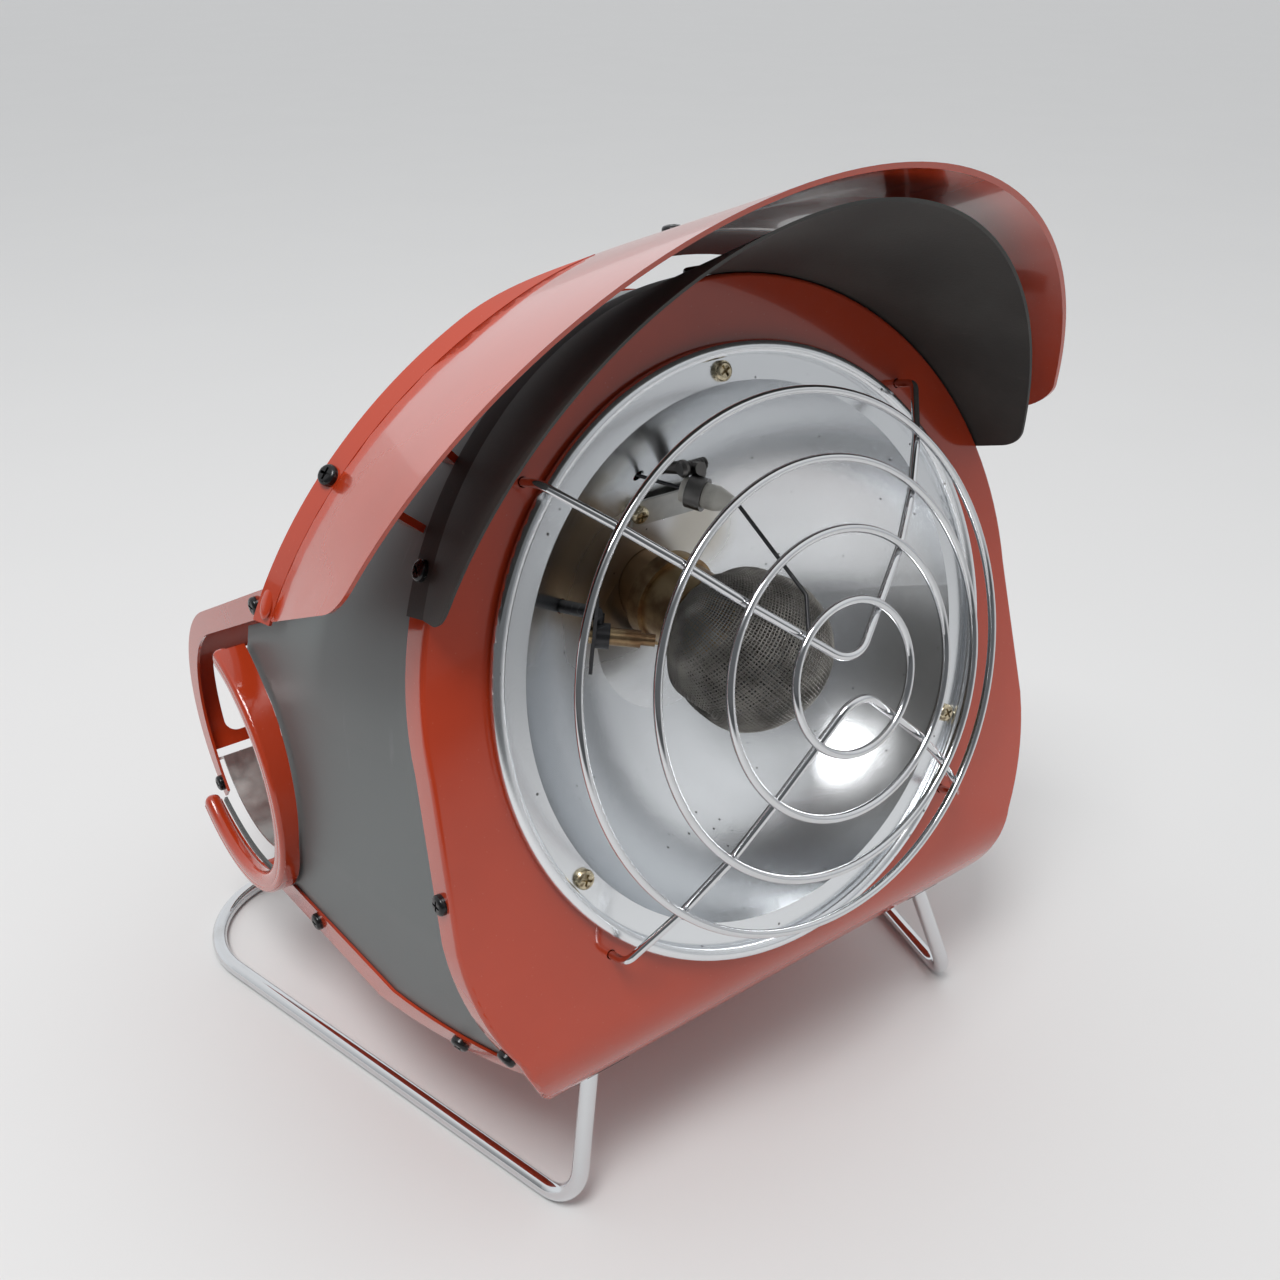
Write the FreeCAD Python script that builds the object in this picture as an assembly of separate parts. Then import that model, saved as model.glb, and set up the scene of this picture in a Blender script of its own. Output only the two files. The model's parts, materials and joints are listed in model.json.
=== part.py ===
import FreeCAD, Part
import functools
import math
import os

V = FreeCAD.Vector

# Cassette gas heater, millimetres, +Z up. The front faces -Y, X runs to the viewer's right.
# The origin is on the floor. The front panel leans back, and everything that belongs to the
# reflector is drawn in the panel's own frame: u across, v up the panel, h out of the panel.

# Reflector frame
rim_radius = 90.0
lean_deg = 15.5
rim_y = -77.4
rim_z = 158.6

# Front panel and casing outline
sheet = 1.0
panel_set_back = 4.5
panel_border = 18.0
side_spread = 3.0
side_low_v = -47.0
bottom_v = -103.0
corner_taper = 24.0
corner_bulge = 6.0
corner_sweep = 0.37
corner_reach = 40.0
foot_taper = 3.0
flange_depth = 9.0
flange_gap = 0.15
fold_radius = 1.4

# Body in side view
back_plane_y = 21.6
underside_front_z = 58.0
cover_slope_deg = 28.0

# Gas can bay, the can lies along X and goes in from the left
bay_y = 68.6
bay_z = 92.7
ring_inner_radius = 45.5
ring_wall = 3.5
ring_proud = 6.0
ring_low_end_deg = -51.0
ring_top_end_deg = 105.0
cover_radius = 50.0
cover_low_end_deg = -40.0
cover_flange = 8.0
cover_tab = 8.0
cover_screw_y = 34.6
window_length = 96.0
window_shift = -20.0
window_low_deg = 4.0
window_high_deg = 38.0
cradle_radius = 37.0
cradle_length = 150.0
cradle_lip = 7.5
cradle_low_deg = -150.0
cradle_high_deg = -32.0
cradle_foot_width = 10.0

# Hood: a strip of a cone about an axis that points lower than the reflector's
hood_axis_tilt_deg = 7.9
hood_axis_drop = 21.3
hood_standoff = 36.3
hood_sheet = 1.2
hood_flare_deg = 12.2
hood_peak_h = 45.0
hood_front_slope = 0.568
hood_back_h = -32.7
hood_back_slope = 0.376
hood_end_angle_deg = 62.8
hood_hem = 8.0
hood_hem_turn_deg = 50.0
hood_corner = 12.0
hood_back_corner = 5.0
bracket_width = 14.0
bracket_plate = 2.0
bracket_angles = (-60.0, -40.0, 40.0, 60.0)
bracket_clear = 8.0

# Heat visor: a black cone on the panel's flange, inside the hood
visor_sheet = 0.8
visor_half_angle = 68.0
visor_peak = 56.8
visor_front_slope = 0.603
visor_flare_deg = 9.9
visor_corner = 10.0

# Reflector bowl
bowl_sheet = 0.8
rim_flat = 11.0
bowl_mid_radius = 57.0
bowl_mid_depth = 36.0
bowl_floor_radius = 24.0
bowl_depth = 54.0
rim_tube = 2.0

# Wire guard
guard_wire = 2.4
guard_radii = (21.0, 39.6, 58.0, 75.9)
guard_heights = (34.4, 30.6, 24.8, 16.5)
anchor_gap = 4.5
anchor_hole_gap = 0.25
vertex_v = 3.3
guard_weld_gap = 0.2

# Burner
burner_tube_radius = 12.5
burner_tube_wall = 1.0
burner_bore_gap = 0.2
tube_front_h = -30.0
tube_behind = 18.0
burner_tilt_deg = 18.0
burner_lift = 1.5
collar_radius = 15.0
collar_step = 1.4
collar_back_length = 5.5
collar_floor_gap = 2.0
gauze_radius = 25.0
gauze_sheet = 0.6
gauze_waist = 14.0
inner_gauze_gap = 2.0

# Ignition and flame sensor
electrode_radius = 3.8
electrode_length = 15.5
electrode_tip_radius = 0.6
pin_reach = 24.0
sensor_radius = 2.6
sensor_length = 16.0
sensor_plate_width = 9.0
sensor_plate_length = 21.0
sensor_plate_sheet = 1.0
clip_wall = 1.2
clip_length = 5.0
clip_gap = 0.1
pin_hole_gap = 1.2
spark_gap = 2.0

# Gas train on the right of the bay
governor_radius = 19.0
governor_length = 26.0
governor_plate = 3.0
governor_x = 78.0
governor_nose_radius = 11.4
governor_nose_x = 66.0
governor_mouth_radius = 8.0
governor_mouth_depth = 10.0
seal_sheet = 3.0
clamp_plate_radius = 33.0
clamp_plate_sheet = 2.0
clamp_plate_x = 70.0
clamp_gap = 0.3
clamp_arm_angle_deg = 30.0
clamp_arm_radius = 29.0
clamp_arm_width = 8.0
clamp_grip_x = 114.0
clamp_grip_length = 12.0
clamp_grip_radius = 8.0
knob_radius = 16.0
knob_length = 15.0
knob_gap = 0.8
knob_edge = 2.5
flute_count = 12
flute_radius = 3.2
flute_centre = 18.0
flute_start = 3.0
pointer_height = 1.2
knob_y = -23.4
knob_z = 95.0
shaft_radius = 3.0
running_gap = 0.05
valve_width = 24.0
valve_x = 82.0
piezo_height = 14.0
piezo_width = 18.0
gas_pipe_radius = 2.0
pipe_hole_gap = 0.4
nozzle_radius = 4.0
nozzle_cup_wall = 1.8
lead_radius = 1.0
lead_out = 14.0
lead_route = ((48.0, 19.5), (14.0, 52.0))
lead_behind = 10.0
lead_end_length = 12.0

# Wire stand
stand_wire = 5.4
stand_front_half = 82.6
stand_front_y = -93.4
stand_back_y = 111.0
stand_flare_deg = 14.5
stand_bend = 34.0
stand_foot_bend = 11.0
stand_top_gap = 1.5
stand_hole_gap = 0.05
upright_top_half = 67.0
upright_top_y = -81.4
clamp_size = 15.0
clamp_height = 9.0

# Screws
screw_head_radius = 2.9
screw_head = 1.9
screw_shank_radius = 1.4
screw_length = 4.5
screw_hole_gap = 0.15

face_frame = FreeCAD.Placement(
    V(0, rim_y, rim_z), FreeCAD.Rotation(V(1, 0, 0), 90.0 - lean_deg)
)
panel_h = -panel_set_back
panel_top_radius = rim_radius + panel_border
side_half_width = panel_top_radius + side_spread
ring_face_x = -side_half_width - ring_proud
bowl_radius = rim_radius - rim_flat
anchor_radius = rim_radius + anchor_gap
flange_back_h = panel_h - flange_depth
casing_inset = sheet + flange_gap
sin_lean = math.sin(math.radians(lean_deg))
cos_lean = math.cos(math.radians(lean_deg))
far = 400.0


def to_world(shape):
    """Carry a shape from the panel's frame into the heater's frame."""
    moved = shape.copy()
    moved.Placement = face_frame.multiply(moved.Placement)
    return moved


def face_point(u, v, h):
    """Panel frame point in the heater's frame."""
    return face_frame.multVec(V(u, v, h))


tube_back_h = -bowl_depth - tube_behind
gauze_centre_h = tube_front_h + math.sqrt(gauze_radius ** 2 - gauze_waist ** 2)
burner_turn = FreeCAD.Placement(
    V(0, burner_lift, gauze_centre_h), FreeCAD.Rotation(V(1, 0, 0), burner_tilt_deg)
)
burner_frame = face_frame.multiply(burner_turn).multiply(
    FreeCAD.Placement(V(0, 0, -gauze_centre_h), FreeCAD.Rotation())
)


burner_tilt = math.radians(burner_tilt_deg)
floor_reach = (bowl_depth + gauze_centre_h - collar_floor_gap) / math.cos(burner_tilt)
collar_low_h = gauze_centre_h - floor_reach + collar_radius * math.tan(burner_tilt)


def to_burner(shape):
    """Carry a shape from the burner's frame, tilted about the gauze, into the heater's frame."""
    moved = shape.copy()
    moved.Placement = burner_frame.multiply(moved.Placement)
    return moved


def extrude_wire(wire, direction):
    return Part.Face(wire).extrude(direction)


def mirrored(p):
    return V(-p.x, p.y, p.z)


def drawn_in(edges, inset):
    """Closed wire of the edges, drawn in by inset."""
    wire = Part.Wire(edges)
    return wire.makeOffset2D(-inset) if inset else wire


def upright_outline():
    """Edges of the body's outline without its low corners."""
    top = V(panel_top_radius, 0, 0)
    side = V(side_half_width, side_low_v, 0)
    foot = V(side_half_width - foot_taper, bottom_v, 0)
    path = [top, side, foot, mirrored(foot), mirrored(side), mirrored(top)]
    sides = [Part.LineSegment(a, b).toShape() for a, b in zip(path, path[1:])]
    return sides + [Part.Arc(mirrored(top), V(0, panel_top_radius, 0), top).toShape()]


def corner_outline():
    """Edges of the outline that trims the low corners. Above them it is clear of the body."""
    side = V(side_half_width, side_low_v, 0)
    low = V(side_half_width - corner_taper, bottom_v, 0)
    chord = low - side
    outward = V(-chord.y, chord.x, 0).normalize()
    middle = (side + low) * 0.5 + outward * corner_bulge
    under = low + V(-corner_reach, -corner_reach, 0)
    beside = side + V(corner_reach, corner_reach, 0)
    above = V(beside.x, far, 0)
    lines = [
        (low, under), (under, mirrored(under)), (mirrored(under), mirrored(low)),
        (mirrored(side), mirrored(beside)), (mirrored(beside), mirrored(above)),
        (mirrored(above), above), (above, beside), (beside, side),
    ]
    edges = [Part.LineSegment(a, b).toShape() for a, b in lines]
    edges.insert(3, Part.Arc(mirrored(low), mirrored(middle), mirrored(side)).toShape())
    return edges + [Part.Arc(side, middle, low).toShape()]


@functools.lru_cache(maxsize=None)
def body_block(inset):
    """Solid body in the panel's frame. Behind the panel's flange its low corners run out."""
    upright = extrude_wire(drawn_in(upright_outline(), inset), V(0, 0, -far))
    upright.translate(V(0, 0, -panel_h))
    corners = drawn_in(corner_outline(), inset)
    corners.translate(V(0, 0, flange_back_h))
    flanged = extrude_wire(corners, V(0, 0, -panel_h - flange_back_h))
    swept = extrude_wire(corners, V(0, -corner_sweep * far, -far))
    return upright.common(flanged.fuse(swept))


def half_width(v, h):
    """Half width of the body at height v up the panel and h out of it."""
    line = Part.LineSegment(V(0, v, h), V(far, v, h)).toShape()
    return line.common(body_block(0)).Length


def prism(inset, h_front, h_back):
    """Body outline between two panel heights, in the heater's frame."""
    slab = Part.makeBox(2 * far, 2 * far, h_front - h_back, V(-far, -far, h_back))
    return to_world(body_block(inset).common(slab))


def side_face(points):
    """Slab along X whose side view is the closed polygon of (y, z) points."""
    corners = [V(-far, y, z) for y, z in points]
    wire = Part.makePolygon(corners + corners[:1])
    return extrude_wire(wire, V(2 * far, 0, 0))


def x_cylinder(radius, y, z, x_low, x_high):
    return Part.makeCylinder(radius, x_high - x_low, V(x_low, y, z), V(1, 0, 0))


def h_cylinder(radius, u, v, h_low, h_high):
    return Part.makeCylinder(radius, h_high - h_low, V(u, v, h_low), V(0, 0, 1))


def x_sector(start_deg, end_deg, radius, x_low, x_high):
    """Pie slice about the bay's axis, angles from +Y towards +Z."""
    slice_ = Part.makeCylinder(
        radius, x_high - x_low, V(0, 0, 0), V(0, 0, 1), end_deg - start_deg
    )
    slice_.rotate(V(0, 0, 0), V(0, 0, 1), start_deg)
    slice_.Placement = FreeCAD.Placement(
        V(x_low, bay_y, bay_z), FreeCAD.Rotation(V(0, 1, 0), V(0, 0, 1), V(1, 0, 0), "ZXY")
    ).multiply(slice_.Placement)
    return slice_


def rounded_path(points, bends):
    """Straight runs joined by tangent arcs. bends holds one radius for each inner point."""
    edges = []
    start = points[0]
    for before, corner, after, bend in zip(points, points[1:], points[2:], bends):
        a = (before - corner).normalize()
        b = (after - corner).normalize()
        half = a.getAngle(b) / 2.0
        back = bend / math.tan(half)
        first = corner + a * back
        last = corner + b * back
        middle = corner + (a + b).normalize() * (bend / math.sin(half) - bend)
        edges.append(Part.LineSegment(start, first).toShape())
        edges.append(Part.Arc(first, middle, last).toShape())
        start = last
    edges.append(Part.LineSegment(start, points[-1]).toShape())
    return Part.Wire(edges)


def rod(points, bends, radius):
    """Round rod along a rounded path."""
    path = rounded_path(points, bends)
    section = Part.Wire(Part.makeCircle(radius, points[0], points[1] - points[0]))
    return path.makePipeShell([section], True, False)


def screw(seat, outward):
    """Pan head screw whose head stands on seat and whose shank goes in."""
    head = Part.makeCylinder(screw_head_radius, screw_head, seat, outward)
    rim = [
        edge for edge in head.Edges
        if abs((edge.CenterOfMass - seat).dot(outward) - screw_head) < 1e-6
    ]
    head = head.makeFillet(screw_head * 0.6, rim)
    shank = Part.makeCylinder(screw_shank_radius, screw_length, seat, outward * -1)
    return head.fuse(shank).removeSplitter()


def screw_hole(seat, outward):
    """Clearance hole for a screw's shank."""
    start = seat - outward * (screw_length + 1)
    return Part.makeCylinder(screw_shank_radius + screw_hole_gap, screw_length + 2, start, outward)


def cut_all(shape, tools):
    return shape.cut(Part.makeCompound(tools))


def save(name, *shapes):
    """Write one node as its separate solids."""
    solids = [solid for shape in shapes for solid in shape.Solids]
    Part.makeCompound(solids).exportStep("parts/%s.step" % name)


# Body envelope in side view: wedge between the leaning panel and the back plane, and the bay behind
underside_front_y = face_point(0, bottom_v, flange_back_h).y
ring_outer_radius = ring_inner_radius + ring_wall
bay_low_z = bay_z - ring_outer_radius
cover_tangent = math.radians(90.0 - cover_slope_deg)
cover_bend = V(
    0,
    bay_y + cover_radius * math.cos(cover_tangent),
    bay_z + cover_radius * math.sin(cover_tangent),
)


def cover_line_z(y, inset):
    """Height of the cover's sloping top at y, drawn in by inset."""
    drop = inset / math.cos(math.radians(cover_slope_deg))
    return cover_bend.z + (cover_bend.y - y) * math.tan(math.radians(cover_slope_deg)) - drop


def underside_z(y):
    """Height of the body's underside at y."""
    share = (y - underside_front_y) / (bay_y - underside_front_y)
    return underside_front_z + (bay_low_z - underside_front_z) * share


wall_top_inset = cover_flange + sheet + flange_gap
ring_top_angle = math.radians(ring_top_end_deg)
ring_top_y = bay_y + ring_outer_radius * math.cos(ring_top_angle)
ring_top_z = bay_z + ring_outer_radius * math.sin(ring_top_angle)


def envelope(skin):
    """Side view of the body, drawn in by skin at the back and below."""
    wedge = side_face([
        (-far, underside_z(-far) + skin),
        (bay_y, bay_low_z + skin),
        (bay_y, bay_z),
        (ring_top_y, ring_top_z),
        (ring_top_y, cover_line_z(ring_top_y, wall_top_inset)),
        (back_plane_y - skin, cover_line_z(back_plane_y, wall_top_inset)),
        (back_plane_y - skin, far),
        (-far, far),
    ])
    disc = x_cylinder(ring_outer_radius, bay_y, bay_z, -far, far)
    disc = disc.common(side_face([
        (-far, underside_z(-far) + skin),
        (far, underside_z(far) + skin),
        (far, far),
        (-far, far),
    ]))
    gap = x_sector(ring_low_end_deg, ring_top_end_deg, far, -far, far)
    return wedge.fuse(disc.cut(gap))


# Places of the screws
reflector_screw_radius = (bowl_radius + rim_radius - 2 * rim_tube) / 2.0
reflector_screw_angles = (90.0, 210.0, 330.0)
reflector_seats = [
    face_point(
        reflector_screw_radius * math.cos(math.radians(angle)),
        reflector_screw_radius * math.sin(math.radians(angle)),
        panel_h + bowl_sheet,
    )
    for angle in reflector_screw_angles
]
panel_normal = face_frame.Rotation.multVec(V(0, 0, 1))
panel_screw_v = (-34.0, -84.0)
flange_mid_h = panel_h - flange_depth * 0.55


def outline_normal(v, h, side):
    """Outward direction of the body's wall on one side."""
    step = 0.5
    slope_v = (half_width(v + step, h) - half_width(v - step, h)) / (2 * step)
    slope_h = (half_width(v, h + step) - half_width(v, h - step)) / (2 * step)
    return V(side, -slope_v, -slope_h).normalize()


def wall_screw(v, h, side):
    """Seat and direction of a screw in the side of the body."""
    direction = face_frame.Rotation.multVec(outline_normal(v, h, side))
    return face_point(side * half_width(v, h), v, h), direction


panel_screws = [wall_screw(v, flange_mid_h, side) for side in (-1, 1) for v in panel_screw_v]


def lower_screw(y, side):
    """Seat on the bottom panel's side flange at depth y."""
    local = face_frame.inverse().multVec(V(0, y, underside_z(y) + flange_depth * 0.55))
    return wall_screw(local.y, local.z, side)


bottom_screw_y = (-65.4, 16.6)
bottom_screws = [lower_screw(y, side) for y in bottom_screw_y for side in (-1, 1)]


def back_screw(angle_deg):
    """Seat on the back panel's flange at an angle round the top."""
    angle = math.radians(angle_deg)
    u = panel_top_radius * math.sin(angle)
    v = panel_top_radius * math.cos(angle)
    h = (rim_y + v * sin_lean - (back_plane_y - flange_depth * 0.55)) / cos_lean
    direction = face_frame.Rotation.multVec(V(math.sin(angle), math.cos(angle), 0))
    return face_point(u, v, h), direction


back_screws = [back_screw(angle) for angle in (-51.0, 0.0, 51.0)]
visor_outer_radius = panel_top_radius + flange_gap + visor_sheet


def visor_screw(angle_deg):
    """Seat on the heat visor's collar at an angle round the top."""
    angle = math.radians(angle_deg)
    direction = V(math.sin(angle), math.cos(angle), 0)
    seat = direction * visor_outer_radius + V(0, 0, flange_mid_h)
    return face_frame.multVec(seat), face_frame.Rotation.multVec(direction)


visor_screws = [visor_screw(angle) for angle in (-62.0, 0.0, 62.0)]


def cover_screw(y, side):
    """Seat on the folded end of the can's cover, at depth y along its sloping top."""
    return V(side * panel_top_radius, y, cover_line_z(y, cover_flange * 0.5)), V(side, 0, 0)


cover_screws = [cover_screw(cover_screw_y, side) for side in (-1, 1)]
anchor_places = [
    V(anchor_radius * math.cos(math.radians(angle)), anchor_radius * math.sin(math.radians(angle)), 0)
    for angle in (45.0, 135.0, 225.0, 315.0)
]


def flange_holes():
    return [screw_hole(*place) for place in panel_screws + bottom_screws + back_screws + visor_screws]


def front_panel():
    """Leaning front sheet with its hole for the reflector and a flange folded back all round."""
    blank = prism(0, panel_h, flange_back_h)
    crease = [
        edge for edge in blank.Edges
        if all(abs(face_frame.inverse().multVec(p.Point).z - panel_h) < 1e-6 for p in edge.Vertexes)
    ]
    blank = blank.makeFillet(fold_radius, crease)
    hollow = prism(sheet, panel_h - sheet, flange_back_h - 1)
    hole = to_world(h_cylinder(bowl_radius + bowl_sheet + 0.4, 0, 0, panel_h - 5, panel_h + 5))
    wire_holes = [
        to_world(h_cylinder(guard_wire / 2 + anchor_hole_gap, p.x, p.y, panel_h - 5, panel_h + 5))
        for p in anchor_places
    ]
    reflector_holes = [screw_hole(seat, panel_normal) for seat in reflector_seats]
    return cut_all(blank, [hollow, hole] + wire_holes + reflector_holes + flange_holes())


def side_casing():
    """Band that follows the panel's outline up one side, over the top and down the other."""
    front = panel_h - sheet - flange_gap
    band = prism(casing_inset, front, -far).cut(prism(casing_inset + sheet, front + 1, -far))
    band = band.common(envelope(sheet + flange_gap))
    mouth = x_cylinder(ring_inner_radius, bay_y, bay_z, -far, 0)
    return cut_all(band, [mouth] + flange_holes() + gas_side_holes())


def back_panel():
    """Upright back sheet, flanged round the top, that also walls off the bay below."""
    upper = side_face([
        (back_plane_y - sheet, underside_z(back_plane_y) + sheet + flange_gap),
        (back_plane_y, underside_z(back_plane_y) + sheet + flange_gap),
        (back_plane_y, far),
        (back_plane_y - sheet, far),
    ])
    web = prism(casing_inset + sheet + flange_gap, panel_h, -far).common(upper)
    flange_foot = cover_line_z(back_plane_y, -flange_gap) + sheet
    rear = side_face([
        (back_plane_y - flange_depth, flange_foot),
        (back_plane_y, flange_foot),
        (back_plane_y, far),
        (back_plane_y - flange_depth, far),
    ])
    hoop = prism(0, flange_back_h - 1, -far).cut(prism(sheet, panel_h, -far)).common(rear)
    lid = prism(0, flange_back_h - 1, -far).common(upper.common(rear))
    body = web.fuse([lid, hoop]).removeSplitter()
    pipe_start = V(supply_x, back_plane_y - flange_depth, bay_z)
    pipe_hole = Part.makeCylinder(
        gas_pipe_radius + pipe_hole_gap, 2 * flange_depth, pipe_start, V(0, 1, 0)
    )
    return cut_all(body, [pipe_hole] + flange_holes())


def bottom_panel():
    """Sheet under the body, from the panel's foot to the bay, with a flange up each side."""
    front = flange_back_h - flange_gap

    def strip(depth):
        return side_face([
            (underside_front_y - flange_depth, underside_z(underside_front_y - flange_depth)),
            (bay_y, bay_low_z),
            (bay_y, bay_low_z + depth),
            (underside_front_y - flange_depth, underside_z(underside_front_y - flange_depth) + depth),
        ])

    floor = prism(0, front, -far).common(strip(sheet))
    hoop = prism(0, front, -far).cut(prism(sheet, front + 1, -far)).common(strip(flange_depth))
    clear = x_cylinder(ring_outer_radius + flange_gap, bay_y, bay_z, -far, 0)
    clear = clear.cut(prism(sheet, front + 1, -far))
    body = floor.fuse(hoop).removeSplitter()
    return cut_all(body, [clear] + flange_holes())


def canister_ring():
    """Moulded C-shaped mouth of the bay, open at the back so that fingers reach the can."""
    ring = x_cylinder(ring_outer_radius, bay_y, bay_z, ring_face_x, -side_half_width * 0.6)
    ring = ring.cut(x_cylinder(ring_inner_radius, bay_y, bay_z, -far, far))
    ring = ring.cut(x_sector(ring_low_end_deg, ring_top_end_deg, far, -far, far))
    ring = ring.cut(prism(0, far, -far))
    face_edges = [
        edge for edge in ring.Edges
        if all(abs(p.Point.x - ring_face_x) < 1e-6 for p in edge.Vertexes) and edge.Length > 20
    ]
    ring = ring.makeFillet(ring_wall * 0.42, face_edges)
    return ring


def cover_profile(radius, start_inset):
    """Side view of the cover's sheet from the back panel over the can and down."""
    low = math.radians(cover_low_end_deg)
    top = V(-far, back_plane_y + flange_gap, cover_line_z(back_plane_y + flange_gap, start_inset))
    turn = V(-far, bay_y + radius * math.cos(cover_tangent), bay_z + radius * math.sin(cover_tangent))
    half = (low + cover_tangent) / 2
    middle = V(-far, bay_y + radius * math.cos(half), bay_z + radius * math.sin(half))
    end = V(-far, bay_y + radius * math.cos(low), bay_z + radius * math.sin(low))
    return top, turn, middle, end


def cover_slab(outer_inset, inner_inset):
    """Curved slab between two insets of the cover's outer face."""
    a = cover_profile(cover_radius - outer_inset, outer_inset)
    b = cover_profile(cover_radius - inner_inset, inner_inset)
    edges = [
        Part.LineSegment(a[0], a[1]).toShape(),
        Part.Arc(a[1], a[2], a[3]).toShape(),
        Part.LineSegment(a[3], b[3]).toShape(),
        Part.Arc(b[3], b[2], b[1]).toShape(),
        Part.LineSegment(b[1], b[0]).toShape(),
        Part.LineSegment(b[0], a[0]).toShape(),
    ]
    return extrude_wire(Part.Wire(edges), V(2 * far, 0, 0))


def canister_cover():
    """Curved sheet round the back of the can with a folded edge at each end and a window."""
    half = panel_top_radius
    width = Part.makeBox(2 * half, far, far, V(-half, 0, 0))
    inner = Part.makeBox(2 * (half - sheet), far, far, V(-half + sheet, 0, 0))
    skin = cover_slab(0, sheet).common(width)
    ends = cover_slab(0, cover_flange).common(width.cut(inner))
    window_x = window_shift - window_length / 2
    window = x_sector(window_low_deg, window_high_deg, far, window_x, window_x + window_length)
    body = skin.fuse(ends).removeSplitter().cut(window)
    tab = Part.makeBox(half, sheet, 2 * cover_tab)
    tab.translate(V(-half / 2, back_plane_y + flange_gap, cover_line_z(back_plane_y, 0) - cover_tab))
    body = body.fuse(tab).removeSplitter()
    return cut_all(body, [screw_hole(*place) for place in cover_screws])


def canister_cradle():
    """Bent dark steel plate that the can lies on, with a lip at the back for the cover's screw."""
    x_low = -panel_top_radius + sheet + flange_gap
    trough = x_sector(cradle_low_deg, cradle_high_deg, cradle_radius, x_low, x_low + cradle_length)
    trough = trough.cut(x_cylinder(cradle_radius - sheet, bay_y, bay_z, -far, far))
    lip = Part.makeBox(cradle_length, cradle_lip, sheet)
    lip.translate(V(x_low, cradle_radius - sheet, -sheet))
    lip.rotate(V(0, 0, 0), V(1, 0, 0), cradle_high_deg)
    lip.translate(V(0, bay_y, bay_z))
    foot_y = bay_y - cradle_foot_width
    foot = Part.makeBox(cradle_length * 0.6, cradle_foot_width, cradle_radius)
    foot.translate(V(x_low + cradle_length * 0.2, foot_y, underside_z(foot_y) + sheet))
    foot = foot.cut(x_cylinder(cradle_radius - sheet, bay_y, bay_z, -far, far))
    return trough.fuse([lip, foot]).removeSplitter()


hood_radius = panel_top_radius + hood_standoff
hood_widen = math.tan(math.radians(hood_flare_deg))
hood_peak_v = hood_radius + hood_peak_h * hood_widen
hood_back_v = hood_radius + hood_back_h * hood_widen
hood_end_v = hood_radius * math.cos(math.radians(hood_end_angle_deg))
hood_frame = face_frame.multiply(FreeCAD.Placement(
    V(0, -hood_axis_drop * math.cos(math.radians(hood_axis_tilt_deg)),
      -hood_axis_drop * math.sin(math.radians(hood_axis_tilt_deg))),
    FreeCAD.Rotation(V(1, 0, 0), hood_axis_tilt_deg),
))


def cone_solid(radius, flare_deg, reach):
    """Filled cone about the frame's h axis, radius at h = 0."""
    widen = math.tan(math.radians(flare_deg)) * reach
    return Part.makeCone(radius - widen, radius + widen, 2 * reach, V(0, 0, -reach))


def trim_slab(points, bends):
    """Slab across u whose side view is the rounded path through (v, h) points, closed."""
    corners = [V(-far, v, h) for v, h in points]
    path = rounded_path(corners, bends)
    closing = Part.LineSegment(corners[-1], corners[0]).toShape()
    return extrude_wire(Part.Wire(path.Edges + [closing]), V(2 * far, 0, 0))


def hood_line(height, slope, v_start, v):
    """Height of one of the hood's straight trims at v."""
    return height + (v - v_start) * slope


def hood():
    """Rolled outer hood that stands off the casing round the top, with a hem turned down at the back."""
    skin = cone_solid(hood_radius + hood_sheet, hood_flare_deg, hood_radius)
    skin = skin.cut(cone_solid(hood_radius, hood_flare_deg, hood_radius))
    low = hood_end_v
    high = 2 * hood_peak_v - hood_end_v
    side_view = trim_slab(
        [
            (high, hood_line(hood_back_h, hood_back_slope, hood_back_v, high)),
            (low, hood_line(hood_back_h, hood_back_slope, hood_back_v, low)),
            (low, hood_line(hood_peak_h, hood_front_slope, hood_peak_v, low)),
            (high, hood_line(hood_peak_h, hood_front_slope, hood_peak_v, high)),
        ],
        [hood_back_corner, hood_corner],
    )
    strip = skin.common(side_view)

    def on_back_trim(p):
        return abs(p.Z - hood_line(hood_back_h, hood_back_slope, hood_back_v, p.Y)) < 1e-4

    back_edge = [face.OuterWire for face in strip.Faces if all(map(on_back_trim, face.Vertexes))][0]
    turn = math.radians(hood_hem_turn_deg)
    apex = V(0, 0, hood_line(hood_back_h, hood_back_slope, hood_back_v, hood_radius / 2))
    apex.z -= hood_radius / math.tan(turn)
    hem_edge = back_edge.copy()
    hem_edge.scale(1.0 - hood_hem * math.sin(turn) / hood_radius, apex)
    hem = Part.makeLoft([back_edge, hem_edge], True, True)
    strip = strip.fuse(hem)
    strip.Placement = hood_frame.multiply(strip.Placement)
    return strip


def hood_brackets():
    """Plates on the casing that carry the hood."""
    under_hood = cone_solid(hood_radius - flange_gap, hood_flare_deg, hood_radius)
    under_hood.Placement = hood_frame.multiply(under_hood.Placement)
    behind = Part.makeBox(2 * far, 2 * far, far, V(-far, -far, flange_back_h - bracket_plate - far))
    room = under_hood.cut(prism(casing_inset - flange_gap, far, -far)).common(to_world(behind))
    plates = []
    for angle in bracket_angles:
        v = hood_radius * math.cos(math.radians(angle))
        h = hood_line(hood_back_h, hood_back_slope, hood_back_v, v) + bracket_clear
        slab = Part.makeBox(bracket_plate, far, bracket_width, V(-bracket_plate / 2, 0, h))
        slab.rotate(V(0, 0, 0), V(0, 0, 1), -angle)
        slab.Placement = hood_frame.multiply(slab.Placement)
        plates.append(room.common(slab))
    return Part.makeCompound(plates)


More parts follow.
